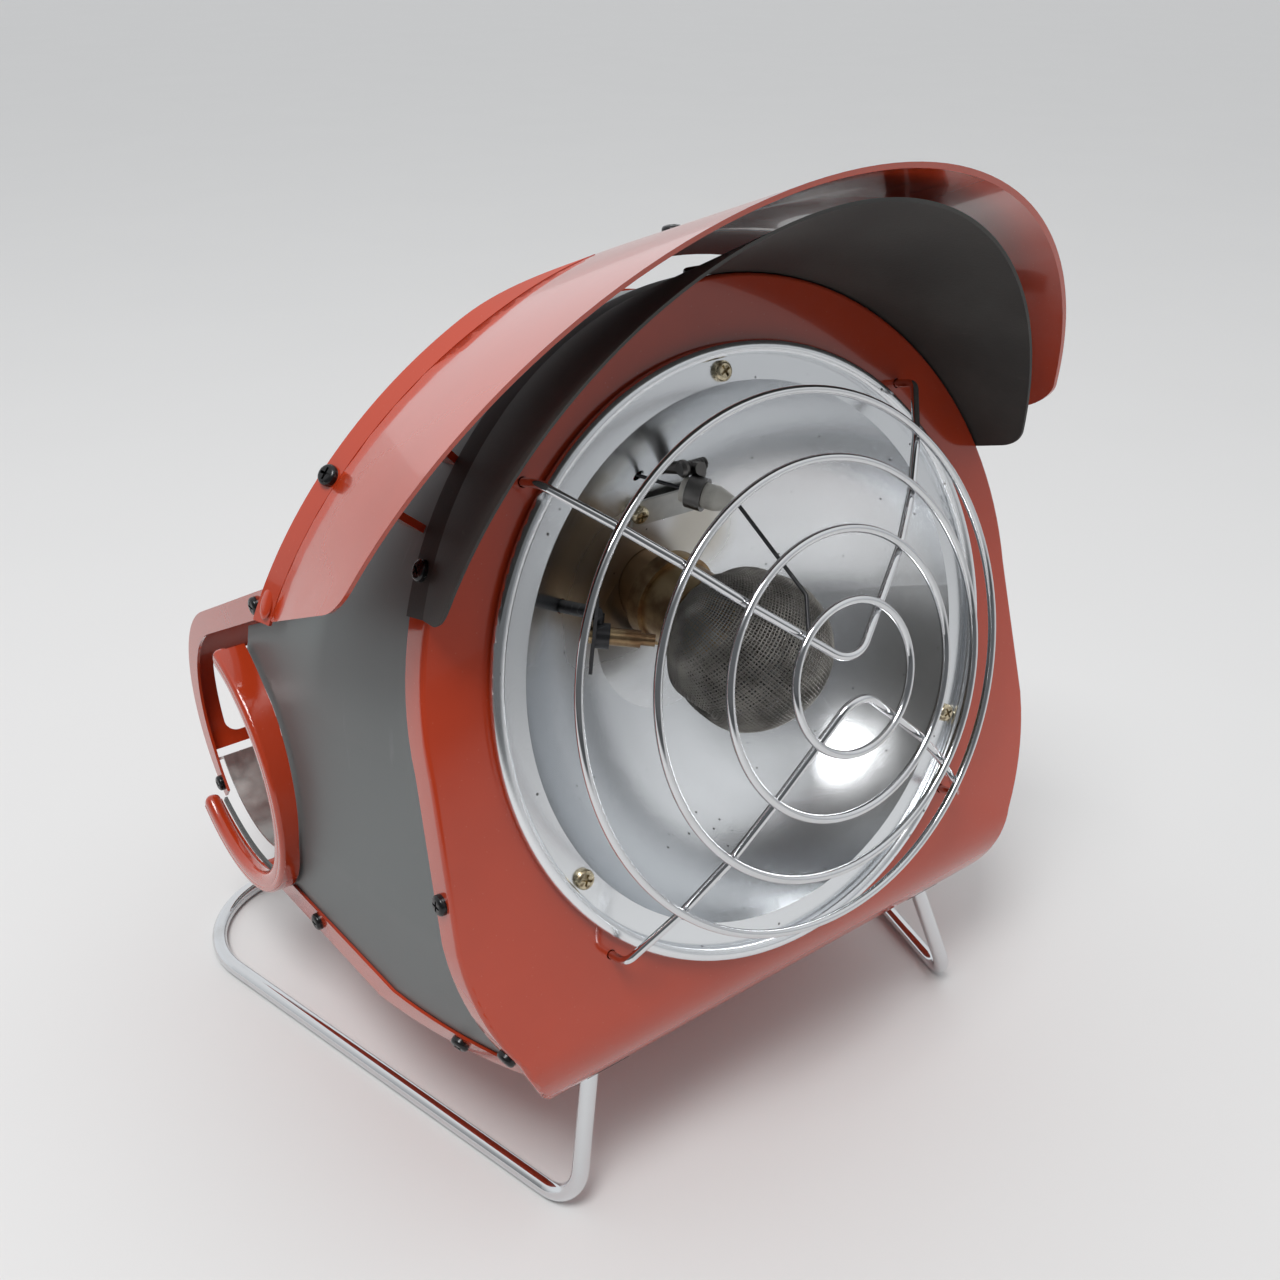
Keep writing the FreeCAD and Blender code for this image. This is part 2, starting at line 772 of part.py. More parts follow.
def heat_visor():
    """Black inner visor: a collar on the panel's flange that flares out over the reflector."""
    inner = panel_top_radius + flange_gap
    reach = visor_peak * 1.4
    widen = math.tan(math.radians(visor_flare_deg))
    profile = [
        V(inner, 0, flange_back_h),
        V(inner + visor_sheet, 0, flange_back_h),
        V(inner + visor_sheet, 0, panel_h),
        V(inner + visor_sheet + reach * widen, 0, panel_h + reach),
        V(inner + reach * widen, 0, panel_h + reach),
        V(inner, 0, panel_h),
    ]
    roll = Part.Face(Part.makePolygon(profile + profile[:1])).revolve(V(0, 0, 0), V(0, 0, 1), 360)
    end_v = inner * math.cos(math.radians(visor_half_angle))
    peak_v = inner + (visor_peak - panel_h) * widen
    over = 20.0
    side_view = trim_slab(
        [
            (peak_v + over, flange_back_h - over),
            (end_v, flange_back_h - over),
            (end_v, visor_peak - (peak_v - end_v) * visor_front_slope),
            (peak_v + over, visor_peak + over * visor_front_slope),
        ],
        [1.0, visor_corner],
    )
    roll = to_world(roll.common(side_view))
    return cut_all(roll, [screw_hole(*place) for place in visor_screws])


def reflector():
    """Pressed bowl with a flat flange on the panel and a rolled rim."""
    back = panel_h
    front = panel_h + bowl_sheet
    flat = rim_radius - rim_tube
    inner = Part.Arc(
        V(bowl_radius, 0, front),
        V(bowl_mid_radius, 0, -bowl_mid_depth),
        V(bowl_floor_radius, 0, -bowl_depth),
    )
    outer = Part.Arc(
        V(bowl_floor_radius, 0, -bowl_depth - bowl_sheet),
        V(bowl_mid_radius + bowl_sheet * 0.7, 0, -bowl_mid_depth - bowl_sheet * 0.7),
        V(bowl_radius + bowl_sheet, 0, back),
    )
    corners = [
        Part.LineSegment(V(flat, 0, front), V(bowl_radius, 0, front)).toShape(),
        inner.toShape(),
        Part.LineSegment(V(bowl_floor_radius, 0, -bowl_depth), V(0, 0, -bowl_depth)).toShape(),
        Part.LineSegment(V(0, 0, -bowl_depth), V(0, 0, -bowl_depth - bowl_sheet)).toShape(),
        Part.LineSegment(
            V(0, 0, -bowl_depth - bowl_sheet), V(bowl_floor_radius, 0, -bowl_depth - bowl_sheet)
        ).toShape(),
        outer.toShape(),
        Part.LineSegment(V(bowl_radius + bowl_sheet, 0, back), V(flat, 0, back)).toShape(),
        Part.LineSegment(V(flat, 0, back), V(flat, 0, front)).toShape(),
    ]
    bowl = Part.Face(Part.Wire(corners)).revolve(V(0, 0, 0), V(0, 0, 1), 360)
    roll = Part.makeTorus(flat, rim_tube, V(0, 0, back + rim_tube))
    body = to_world(bowl.fuse(roll).removeSplitter())
    holes = [screw_hole(seat, panel_normal) for seat in reflector_seats]
    bore = to_burner(h_cylinder(burner_tube_radius + burner_bore_gap, 0, 0, tube_back_h, tube_front_h))
    return cut_all(body, holes + ignition_holes() + [bore])


def guard_rings():
    """Concentric wire rings on a dome."""
    rings = [
        to_world(Part.makeTorus(radius, guard_wire / 2, V(0, 0, height)))
        for radius, height in zip(guard_radii, guard_heights)
    ]
    return Part.makeCompound(rings)


def ring_share(start, end, radius):
    """Share of the way from start to end, seen along h, at which the line meets a ring."""
    run = end - start
    a = run.x ** 2 + run.y ** 2
    b = start.x * run.x + start.y * run.y
    c = start.x ** 2 + start.y ** 2 - radius ** 2
    return (-b - math.sqrt(b ** 2 - a * c)) / a


def guard_wire_v(side):
    """V-shaped wire under the rings, hooked into the panel at both ends."""
    under = guard_wire + guard_weld_gap
    legs = []
    for sign in (-1, 1):
        spot = anchor_places[1] if sign < 0 else anchor_places[0]
        foot = V(spot.x, spot.y, panel_h - sheet - 3.0)
        knee = V(spot.x, spot.y, rim_tube * 2 + panel_h + 3.2)
        crest = []
        for radius, height in list(zip(guard_radii, guard_heights))[::-1]:
            crest.append(V(sign * radius * math.sqrt(0.5), radius * math.sqrt(0.5), height - under))
        legs.append([foot, knee] + crest[:3])
    vertex = V(0, vertex_v, 0)
    last = legs[0][-1]
    share = ring_share(last, vertex, guard_radii[0])
    vertex.z = last.z + (guard_heights[0] - under - last.z) / share
    points = legs[0] + [vertex] + legs[1][::-1]
    bends = [5.0, 9.0, 25.0, 25.0, 9.0, 25.0, 25.0, 9.0, 5.0]
    wire = rod(points, bends, guard_wire / 2)
    if side < 0:
        wire = wire.mirror(V(0, 0, 0), V(0, 1, 0))
    return to_world(wire)


def burner_tube():
    """Mixing tube that comes through the bowl, nearly level."""
    outer = h_cylinder(burner_tube_radius, 0, 0, tube_back_h, tube_front_h)
    inner = h_cylinder(burner_tube_radius - burner_tube_wall, 0, 0, tube_back_h - 1, tube_front_h + 1)
    return to_burner(outer.cut(inner))


def burner_collar():
    """Turned collar on the tube that holds the gauze, stepped at the back."""
    low = collar_low_h
    ring = h_cylinder(collar_radius - collar_step, 0, 0, low, tube_front_h)
    ring = ring.fuse(h_cylinder(collar_radius, 0, 0, low, low + collar_back_length)).removeSplitter()
    ring = ring.cut(h_cylinder(burner_tube_radius, 0, 0, low - 1, tube_front_h + 1))
    return to_burner(ring)


def gauze_shell(radius, waist, thickness, low):
    """Ball of gauze open at the back, with a short neck."""
    centre = low + math.sqrt(radius ** 2 - waist ** 2)
    ball = Part.makeSphere(radius, V(0, 0, centre))
    ball = ball.cut(Part.makeSphere(radius - thickness, V(0, 0, centre)))
    keep = Part.makeBox(2 * far, 2 * far, far, V(-far, -far, low))
    return to_burner(ball.common(keep))


def gauze_outer():
    return gauze_shell(gauze_radius, gauze_waist, gauze_sheet, tube_front_h)


def gauze_inner():
    radius = gauze_radius - gauze_sheet - inner_gauze_gap
    return gauze_shell(radius, gauze_waist - inner_gauze_gap, gauze_sheet, tube_front_h)


# Ignition electrode and flame sensor, carried on posts through the bowl
electrode_foot = V(-2.5, 49.3, -26.0)
electrode_axis = V(0.48, -0.35, 0.80).normalize()
electrode_root = electrode_foot - electrode_axis * pin_reach
spark_bend = V(4.5, 19.4, 14.0)
spark_tip = V(-0.5, 8.9, 18.5)
sensor_foot = V(-41.0, 15.4, -31.0)
sensor_axis = V(0.80, -0.26, 0.54).normalize()
post_radius = 2.0
post_gap = 0.3
post_offset = 6.5


def post_place(foot, axis):
    """Post beside a fitting, square to its axis."""
    return foot - axis.cross(V(0, 0, 1)).normalize() * post_offset


def ignition_holes():
    """Holes in the bowl for the two posts and the electrode's pin."""
    holes = []
    for foot, axis in ((electrode_foot, electrode_axis), (sensor_foot, sensor_axis)):
        spot = post_place(foot, axis)
        holes.append(to_world(h_cylinder(post_radius + post_gap, spot.x, spot.y, -far, spot.z)))
    reach = 2 * pin_reach
    start = electrode_foot - electrode_axis * reach
    pin = Part.makeCylinder(electrode_tip_radius + pin_hole_gap, reach, start, electrode_axis)
    holes.append(to_world(pin))
    return holes


def post_bracket(foot, axis, radius):
    """Post through the bowl with a clip round a fitting."""
    spot = post_place(foot, axis)
    post = h_cylinder(post_radius, spot.x, spot.y, -bowl_depth - post_radius, foot.z + clip_length)
    clip = Part.makeCylinder(radius + clip_wall, clip_length, foot + axis * post_radius, axis)
    middle = foot + axis * (post_radius + clip_length * 0.3)
    link = Part.makeCylinder(post_radius * 0.8, post_offset, middle, (spot - foot).normalize())
    seat = Part.makeCylinder(radius + clip_gap, 2 * far, foot - axis * far, axis)
    return to_world(post.fuse([clip, link]).removeSplitter().cut(seat))


def electrode_bracket():
    return post_bracket(electrode_foot, electrode_axis, electrode_radius)


def sensor_bracket():
    """Post and clip of the sensor, with the plate that the sensor is pushed through."""
    plate = Part.makeBox(
        sensor_plate_width, sensor_plate_length, sensor_plate_sheet,
        V(-sensor_plate_width / 2, -sensor_plate_length / 2, post_radius),
    )
    plate.Placement = FreeCAD.Placement(sensor_foot, FreeCAD.Rotation(V(0, 0, 1), sensor_axis))
    start = sensor_foot - sensor_axis * far
    seat = Part.makeCylinder(sensor_radius + clip_gap, 2 * far, start, sensor_axis)
    clip = post_bracket(sensor_foot, sensor_axis, sensor_radius)
    return clip.fuse(to_world(plate.cut(seat))).removeSplitter()


def electrode_insulator():
    """White ceramic body with a tapered nose and a bore for the pin."""
    straight = electrode_length * 0.7
    body = Part.makeCylinder(electrode_radius, straight, electrode_foot, electrode_axis)
    nose = Part.makeCone(
        electrode_radius, electrode_radius * 0.55, electrode_length - straight,
        electrode_foot + electrode_axis * straight, electrode_axis,
    )
    bore = Part.makeCylinder(electrode_tip_radius + running_gap, far, electrode_root, electrode_axis)
    return to_world(body.fuse(nose).removeSplitter().cut(bore))


def electrode_pin():
    """Spark wire from behind the bowl, through the ceramic, bent over the gauze."""
    nose = electrode_foot + electrode_axis * (electrode_length + spark_gap)
    points = [electrode_root, nose, spark_bend, spark_tip]
    return to_world(rod(points, [spark_gap, spark_gap], electrode_tip_radius))


def flame_sensor():
    """Brass sensor tube whose tip stands by the gauze."""
    body = Part.makeCylinder(sensor_radius, sensor_length, sensor_foot, sensor_axis)
    tip_start = sensor_foot + sensor_axis * sensor_length
    tip = Part.makeCylinder(sensor_radius * 0.7, sensor_radius * 1.6, tip_start, sensor_axis)
    return to_world(body.fuse(tip).removeSplitter())


# Gas train: can, clamp plate, governor, valve, nozzle
wall_v = (bay_y - rim_y) * sin_lean + (bay_z - rim_z) * cos_lean
bay_wall_x = half_width(wall_v, flange_back_h) - casing_inset - sheet
valve_v = (knob_y - rim_y) * sin_lean + (knob_z - rim_z) * cos_lean
valve_wall_x = half_width(valve_v, flange_back_h) - casing_inset - sheet
shaft_x = valve_x + 6.5
knob_base_x = valve_wall_x + sheet + knob_gap
knob_socket = knob_length * 0.7
nozzle_h = tube_back_h - 4.0
wall_gap = 0.2
wall_reach = 8.0
supply_x = governor_x + governor_length * 0.46
supply_y = bay_y - governor_radius * 0.7


def gas_side_holes():
    """Hole in the right side wall for the control shaft."""
    return [x_cylinder(shaft_radius + running_gap * 4, knob_y, knob_z, 50.0, far)]


def governor():
    """Pressure governor on the bay's axis with a mount plate on the side wall."""
    body = x_cylinder(governor_radius, bay_y, bay_z, governor_x, governor_x + governor_length)
    nose = x_cylinder(governor_nose_radius, bay_y, bay_z, governor_nose_x, governor_x)
    plate_width = governor_radius + governor_nose_radius
    plate = Part.makeBox(wall_reach, plate_width, governor_radius * 2)
    plate.translate(V(bay_wall_x - governor_plate, bay_y - plate_width, bay_z - governor_radius))
    neck = x_cylinder(governor_radius * 0.5, bay_y, bay_z, governor_x, bay_wall_x + wall_reach)
    inside = prism(casing_inset + sheet + wall_gap, far, -far)
    plate = plate.common(inside)
    neck = neck.common(inside)
    mouth_end = governor_nose_x + governor_mouth_depth
    mouth = x_cylinder(governor_mouth_radius, bay_y, bay_z, governor_nose_x - 1, mouth_end)
    port = Part.makeCylinder(gas_pipe_radius, governor_radius, V(supply_x, supply_y, bay_z), V(0, -1, 0))
    return body.fuse([nose, plate, neck]).removeSplitter().cut(mouth).cut(port)


def governor_seal():
    """Rubber ring in the governor's mouth."""
    x = governor_nose_x + governor_mouth_depth
    ring = x_cylinder(governor_mouth_radius - 0.1, bay_y, bay_z, x - seal_sheet, x)
    return ring.cut(x_cylinder(governor_mouth_radius * 0.5, bay_y, bay_z, x - far, x + far))


def can_clamp():
    """Sliding plate that draws the can's collar on to the governor, with its arm and grip."""
    plate_end = clamp_plate_x + clamp_plate_sheet
    plate = x_cylinder(clamp_plate_radius, bay_y, bay_z, clamp_plate_x, plate_end)
    plate = plate.cut(x_cylinder(governor_nose_radius + clamp_gap, bay_y, bay_z, -far, far))
    angle = math.radians(clamp_arm_angle_deg)
    y = bay_y + clamp_arm_radius * math.cos(angle)
    z = bay_z + clamp_arm_radius * math.sin(angle)
    arm = Part.makeBox(clamp_grip_x - clamp_plate_x, clamp_arm_width, clamp_plate_sheet)
    arm.translate(V(clamp_plate_x, -clamp_arm_width / 2, -clamp_plate_sheet / 2))
    arm.rotate(V(0, 0, 0), V(1, 0, 0), clamp_arm_angle_deg + 90.0)
    arm.translate(V(0, y, z))
    return plate.fuse(arm).removeSplitter()


def can_clamp_grip():
    """Black grip on the end of the clamp's arm."""
    angle = math.radians(clamp_arm_angle_deg)
    y = bay_y + clamp_arm_radius * math.cos(angle)
    z = bay_z + clamp_arm_radius * math.sin(angle)
    grip = x_cylinder(clamp_grip_radius, y, z, clamp_grip_x, clamp_grip_x + clamp_grip_length)
    ends = [edge for edge in grip.Edges if edge.Curve.TypeId == "Part::GeomCircle"]
    return grip.makeFillet(2.0, ends)


def supply_pipe():
    """Pipe from the governor through the bay's wall to the valve."""
    length = supply_y - (knob_y + valve_width / 2)
    return Part.makeCylinder(gas_pipe_radius, length, V(supply_x, supply_y, bay_z), V(0, -1, 0))


def valve_body():
    """Gas valve inside the right wall with a bore for the control shaft."""
    body = Part.makeBox(valve_wall_x + wall_reach - valve_x, valve_width, valve_width)
    body.translate(V(valve_x, knob_y - valve_width / 2, knob_z - valve_width / 2))
    edges = [e for e in body.Edges if abs(e.Vertexes[0].Point.x - e.Vertexes[1].Point.x) > 1]
    body = body.makeFillet(3.0, edges).common(prism(casing_inset + sheet + wall_gap, far, -far))
    bore = x_cylinder(shaft_radius + running_gap, knob_y, knob_z, shaft_x - knob_gap, far)
    return body.cut(bore)


def control_shaft():
    """Shaft from the valve through the wall into the knob."""
    return x_cylinder(shaft_radius, knob_y, knob_z, shaft_x, knob_base_x + knob_socket)


def control_knob():
    """Round control knob with finger flutes and a pointer rib."""
    face_x = knob_base_x + knob_length
    body = x_cylinder(knob_radius, knob_y, knob_z, knob_base_x, face_x)
    rim = [
        edge for edge in body.Edges
        if edge.Curve.TypeId == "Part::GeomCircle" and abs(edge.CenterOfMass.x - face_x) < 1e-6
    ]
    body = body.makeFillet(knob_edge, rim)
    flutes = []
    for i in range(flute_count):
        angle = 2 * math.pi * (i + 0.5) / flute_count
        y = knob_y + flute_centre * math.cos(angle)
        z = knob_z + flute_centre * math.sin(angle)
        flutes.append(x_cylinder(flute_radius, y, z, knob_base_x + flute_start, far))
    socket = x_cylinder(shaft_radius, knob_y, knob_z, 0, knob_base_x + knob_socket)
    pointer = Part.makeBox(pointer_height, 2 * pointer_height, knob_radius * 0.7)
    pointer.translate(V(face_x, knob_y - pointer_height, knob_z + knob_radius * 0.12))
    return cut_all(body, flutes + [socket]).fuse(pointer).removeSplitter()


def piezo_igniter():
    """Spark unit on top of the valve."""
    box = Part.makeBox(valve_wall_x - valve_x - 3.0, piezo_width, piezo_height)
    box.translate(V(valve_x, knob_y - piezo_width / 2, knob_z + valve_width / 2))
    return box


def igniter_lead():
    """Insulated lead from the spark unit to the electrode's pin behind the bowl."""
    end = face_frame.multVec(electrode_root)
    back = face_frame.Rotation.multVec(electrode_axis)
    start = V(valve_x, knob_y, knob_z + valve_width / 2 + piezo_height / 2)
    points = [
        start,
        start - V(lead_out, 0, 0),
        *[face_point(u, v, -bowl_depth - lead_behind) for u, v in lead_route],
        end - back * lead_end_length,
        end,
    ]
    return rod(points, [7.0, 14.0, 12.0, 6.0], lead_radius)


def nozzle_cup():
    """Cup on the back of the mixing tube with air windows, which holds the gas nozzle."""
    inner = burner_tube_radius + burner_bore_gap
    low = nozzle_h - 4.0
    cup = h_cylinder(inner + nozzle_cup_wall, 0, 0, low, tube_back_h + 10.0)
    cup = cup.cut(h_cylinder(inner, 0, 0, nozzle_h - 2.0, far))
    windows = [
        Part.makeBox(far, 9.0, 7.0, V(-far / 2, -4.5, nozzle_h - 1.0)),
    ]
    bore = h_cylinder(nozzle_radius, 0, 0, -far, far)
    return to_burner(cut_all(cup, windows + [bore]))


def gas_nozzle():
    """Brass nozzle in the cup's floor, with a head behind for the pipe."""
    low = nozzle_h - 4.0
    stem = h_cylinder(nozzle_radius, 0, 0, low, tube_back_h + 2.0)
    head = h_cylinder(nozzle_radius + 1.6, 0, 0, low - 8.0, low)
    port = Part.makeCylinder(gas_pipe_radius, far, V(nozzle_radius - 1.0, 0, low - 4.0), V(1, 0, 0))
    return to_burner(stem.fuse(head).removeSplitter().cut(port))


def burner_pipe():
    """Pipe from the valve to the nozzle, behind the bowl."""
    end = burner_frame.multVec(V(nozzle_radius - 1.0, 0, nozzle_h - 8.0))
    start = V(valve_x, knob_y, knob_z)
    points = [start, start + V(-24.0, 0, 0), end + V(34.0, 0, 0), end]
    return rod(points, [9.0, 9.0], gas_pipe_radius)


def stand():
    """One bent rod: two uprights, two runners that flare apart and a bar across the back."""
    z = stand_wire / 2
    widen = math.tan(math.radians(stand_flare_deg))
    back_half = stand_front_half + (stand_back_y - stand_front_y) * widen
    top_z = underside_z(upright_top_y) - stand_top_gap
    right = [
        V(upright_top_half, upright_top_y, top_z),
        V(stand_front_half, stand_front_y, z),
        V(back_half, stand_back_y, z),
    ]
    left = [V(-p.x, p.y, p.z) for p in right]
    bends = [stand_foot_bend, stand_bend, stand_bend, stand_foot_bend]
    return rod(right + left[::-1], bends, stand_wire / 2)


def stand_clamps():
    """Blocks under the body that hold the tops of the stand's uprights."""
    blocks = []
    for side in (-1, 1):
        top = underside_z(upright_top_y)
        block = Part.makeBox(clamp_size, clamp_size, 2 * clamp_height)
        block.translate(V(
            side * upright_top_half - clamp_size / 2,
            upright_top_y - clamp_size / 2,
            top - clamp_height,
        ))
        below = side_face([
            (-far, underside_z(-far) - flange_gap),
            (far, underside_z(far) - flange_gap),
            (far, -far),
            (-far, -far),
        ])
        start = V(side * upright_top_half, upright_top_y, top - stand_top_gap)
        axis = V(side * stand_front_half, stand_front_y, stand_wire / 2) - start
        hole = Part.makeCylinder(stand_wire / 2 + stand_hole_gap, far, start, axis)
        blocks.append(block.common(below).cut(hole))
    return Part.makeCompound(blocks)


def screw_set(places):
    return Part.makeCompound([screw(seat, outward) for seat, outward in places])


def reflector_screws():
    return screw_set([(seat, panel_normal) for seat in reflector_seats])


nodes = {
    "front_panel": front_panel,
    "side_casing": side_casing,
    "back_panel": back_panel,
    "bottom_panel": bottom_panel,
    "canister_ring": canister_ring,
    "canister_cover": canister_cover,
    "canister_cradle": canister_cradle,
    "hood": hood,
    "hood_brackets": hood_brackets,
    "heat_visor": heat_visor,
    "reflector": reflector,
    "guard_rings": guard_rings,
    "guard_wire_upper": lambda: guard_wire_v(1),
    "guard_wire_lower": lambda: guard_wire_v(-1),
    "burner_tube": burner_tube,
    "burner_collar": burner_collar,
    "gauze_outer": gauze_outer,
    "gauze_inner": gauze_inner,
    "electrode_insulator": electrode_insulator,
    "electrode_pin": electrode_pin,
    "electrode_bracket": electrode_bracket,
    "flame_sensor": flame_sensor,
    "sensor_bracket": sensor_bracket,
    "governor": governor,
    "governor_seal": governor_seal,
    "can_clamp": can_clamp,
    "can_clamp_grip": can_clamp_grip,
    "supply_pipe": supply_pipe,
    "valve_body": valve_body,
    "control_shaft": control_shaft,
    "control_knob": control_knob,
    "piezo_igniter": piezo_igniter,
    "igniter_lead": igniter_lead,
    "nozzle_cup": nozzle_cup,
    "gas_nozzle": gas_nozzle,
    "burner_pipe": burner_pipe,
    "stand": stand,
    "stand_clamps": stand_clamps,
    "panel_screws": lambda: screw_set(panel_screws),
    "bottom_screws": lambda: screw_set(bottom_screws),
    "back_screws": lambda: screw_set(back_screws),
    "visor_screws": lambda: screw_set(visor_screws),
    "cover_screws": lambda: screw_set(cover_screws),
    "reflector_screws": reflector_screws,
}

os.makedirs("parts", exist_ok=True)
for node_name, build in nodes.items():
    node_shape = build()
    save(node_name, node_shape)
    print(node_name, [round(s.Volume, 1) for s in node_shape.Solids], node_shape.isValid())
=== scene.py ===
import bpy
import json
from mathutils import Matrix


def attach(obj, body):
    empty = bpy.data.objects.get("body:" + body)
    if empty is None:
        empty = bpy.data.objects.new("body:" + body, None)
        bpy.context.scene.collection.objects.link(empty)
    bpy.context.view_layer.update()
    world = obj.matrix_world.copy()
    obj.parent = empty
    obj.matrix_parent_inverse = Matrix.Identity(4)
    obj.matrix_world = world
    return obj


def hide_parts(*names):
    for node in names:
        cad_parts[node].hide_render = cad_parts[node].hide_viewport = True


bl_info = {
    "name": "Cassette Gas Heater",
    "version": (1, 0, 0),
    "blender": (4, 5, 0),
    "location": "View3D > Sidebar > Heater",
    "description": "Dresses the cassette gas heater's solids and sets its studio",
    "category": "Object",
}

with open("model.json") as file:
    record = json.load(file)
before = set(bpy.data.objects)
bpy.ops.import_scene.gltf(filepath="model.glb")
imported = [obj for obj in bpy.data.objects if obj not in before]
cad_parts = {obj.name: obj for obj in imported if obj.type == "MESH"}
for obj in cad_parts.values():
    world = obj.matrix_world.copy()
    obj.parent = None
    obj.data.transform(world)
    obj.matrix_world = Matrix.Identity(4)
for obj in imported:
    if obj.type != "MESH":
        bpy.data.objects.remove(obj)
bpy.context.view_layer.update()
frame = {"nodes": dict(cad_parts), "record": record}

import json
import math

import bmesh
import bpy
from bpy.props import FloatProperty, FloatVectorProperty, IntProperty, PointerProperty
from mathutils import Matrix, Vector

BODY = "heater"
ACROSS = Vector((1.0, 0.0, 0.0))


# Sizes and colours a user would change

def tint(name, description, default):
    """Colour property, scene linear."""
    return FloatVectorProperty(
        name=name, description=description, default=default, subtype="COLOR", size=3, min=0.0, max=1.0
    )


def length(name, description, default):
    """Length property in metres."""
    return FloatProperty(name=name, description=description, default=default, unit="LENGTH", precision=5)


def bearing(name, description, degrees):
    """Angle property, with its default given in degrees."""
    return FloatProperty(name=name, description=description, default=math.radians(degrees), subtype="ANGLE")


def ratio(name, description, default):
    """Property that is a plain number."""
    return FloatProperty(name=name, description=description, default=default)


def whole(name, description, default):
    """Property that counts something."""
    return IntProperty(name=name, description=description, default=default)


def point(name, description, default, subtype="TRANSLATION"):
    """Place or direction property."""
    return FloatVectorProperty(name=name, description=description, default=default, subtype=subtype, size=3)


class HeaterLayout(bpy.types.PropertyGroup):
    """Where the leaning reflector stands. Its frame runs across, up the panel and out of it."""

    rim_centre: point("Rim centre", "Middle of the reflector's rim", (0.0, -0.0774, 0.1586))
    lean: bearing("Lean", "How far the panel leans back", 15.5)
    gauze_centre: point("Gauze centre", "Gauze ball's middle in that frame", (0.0, 0.0015, -0.00929))
    burner_tilt: bearing("Burner tilt", "How far the burner dips from the panel's own axis", 18.0)


class HeaterColours(bpy.types.PropertyGroup):
    """Finishes of the heater."""

    enamel: tint("Red enamel", "Gloss enamel of the panels and the hood", (0.48, 0.046, 0.013))
    casing: tint("Grey enamel", "Satin enamel of the side casing", (0.115, 0.126, 0.126))
    visor: tint("Visor black", "Matte heat-proof black", (0.025, 0.024, 0.022))
    plating: tint("Bowl plating", "Bright plating of the reflector", (0.80, 0.82, 0.84))
    chrome: tint("Chrome", "Guard and stand", (0.70, 0.71, 0.725))
    tinted: tint("Heat tint", "Steel browned by the flame", (0.36, 0.245, 0.145))
    brass: tint("Brass", "Turned brass fittings", (0.43, 0.315, 0.18))
    gauze: tint("Gauze", "Dark burnt wire", (0.20, 0.19, 0.175))
    plate: tint("Dark plate", "Dark steel of brackets", (0.055, 0.055, 0.058))
    zinc: tint("Zinc", "Plated steel", (0.55, 0.55, 0.53))
    ceramic: tint("Ceramic", "Electrode ceramic", (0.72, 0.70, 0.64))
    moulding: tint("Moulding", "Black plastic", (0.018, 0.018, 0.019))
    copper: tint("Copper", "Gas pipes", (0.62, 0.30, 0.18))
    black_screw: tint("Black screws", "Blackened steel", (0.030, 0.030, 0.031))
    brassy_screw: tint("Brassy screws", "Yellowish passivated steel", (0.62, 0.54, 0.38))


class HeaterGauze(bpy.types.PropertyGroup):
    """Woven ball over the burner."""

    pitch: length("Pitch", "Distance between wires", 0.00112)
    wire: length("Wire", "Wire radius", 0.00016)
    inner_pitch: length("Inner pitch", "Distance between wires of the inner layer", 0.0016)
    inner_wire: ratio("Inner wire", "Thickness of the inner layer's wire over the outer one's", 1.2)
    folds: whole("Folds", "Gathers where the gauze meets the collar", 14)
    fold_depth: length("Fold depth", "How deep the gathers are", 0.0008)
    slack: length("Slack", "How far the ball is out of round", 0.0006)
    dent: length("Dent", "Depth of the crease low on the left", 0.0032)


class HeaterScrews(bpy.types.PropertyGroup):
    """Pan head screws."""

    head_radius: length("Head radius", "Radius of the head", 0.0029)
    head_height: length("Head height", "Height of the head", 0.0019)
    recess_length: length("Recess length", "Length of the cross in the head", 0.0034)
    recess_width: length("Recess width", "Width of the cross in the head", 0.0007)
    recess_depth: length("Recess depth", "Depth of the cross in the head", 0.0011)


class HeaterElectrode(bpy.types.PropertyGroup):
    """Clamp screw and base plate of the electrode, placed in the panel's frame."""

    place: point("Place", "Underside of the screw's head", (-0.0016, 0.0552, -0.0250))
    head_radius: length("Head radius", "Radius of the head", 0.0027)
    head_height: length("Head height", "Height of the head", 0.0019)
    thread_radius: length("Thread radius", "Radius over the thread", 0.0019)
    thread_depth: length("Thread depth", "Depth of the thread", 0.0005)
    pitch: length("Pitch", "Distance between turns of the thread", 0.0012)
    threads: whole("Turns", "Turns of the thread that show", 6)
    plate_place: point("Plate", "Middle of the base plate", (0.0046, 0.0418, -0.0442))
    plate_facing: point("Plate facing", "Way that the base plate faces", (-0.05, -0.48, 0.87), "DIRECTION")
    plate_length: length("Plate length", "Length of the base plate", 0.027)
    plate_width: length("Plate width", "Width of the base plate", 0.0095)
    plate_sheet: length("Plate sheet", "Thickness of the base plate", 0.0008)


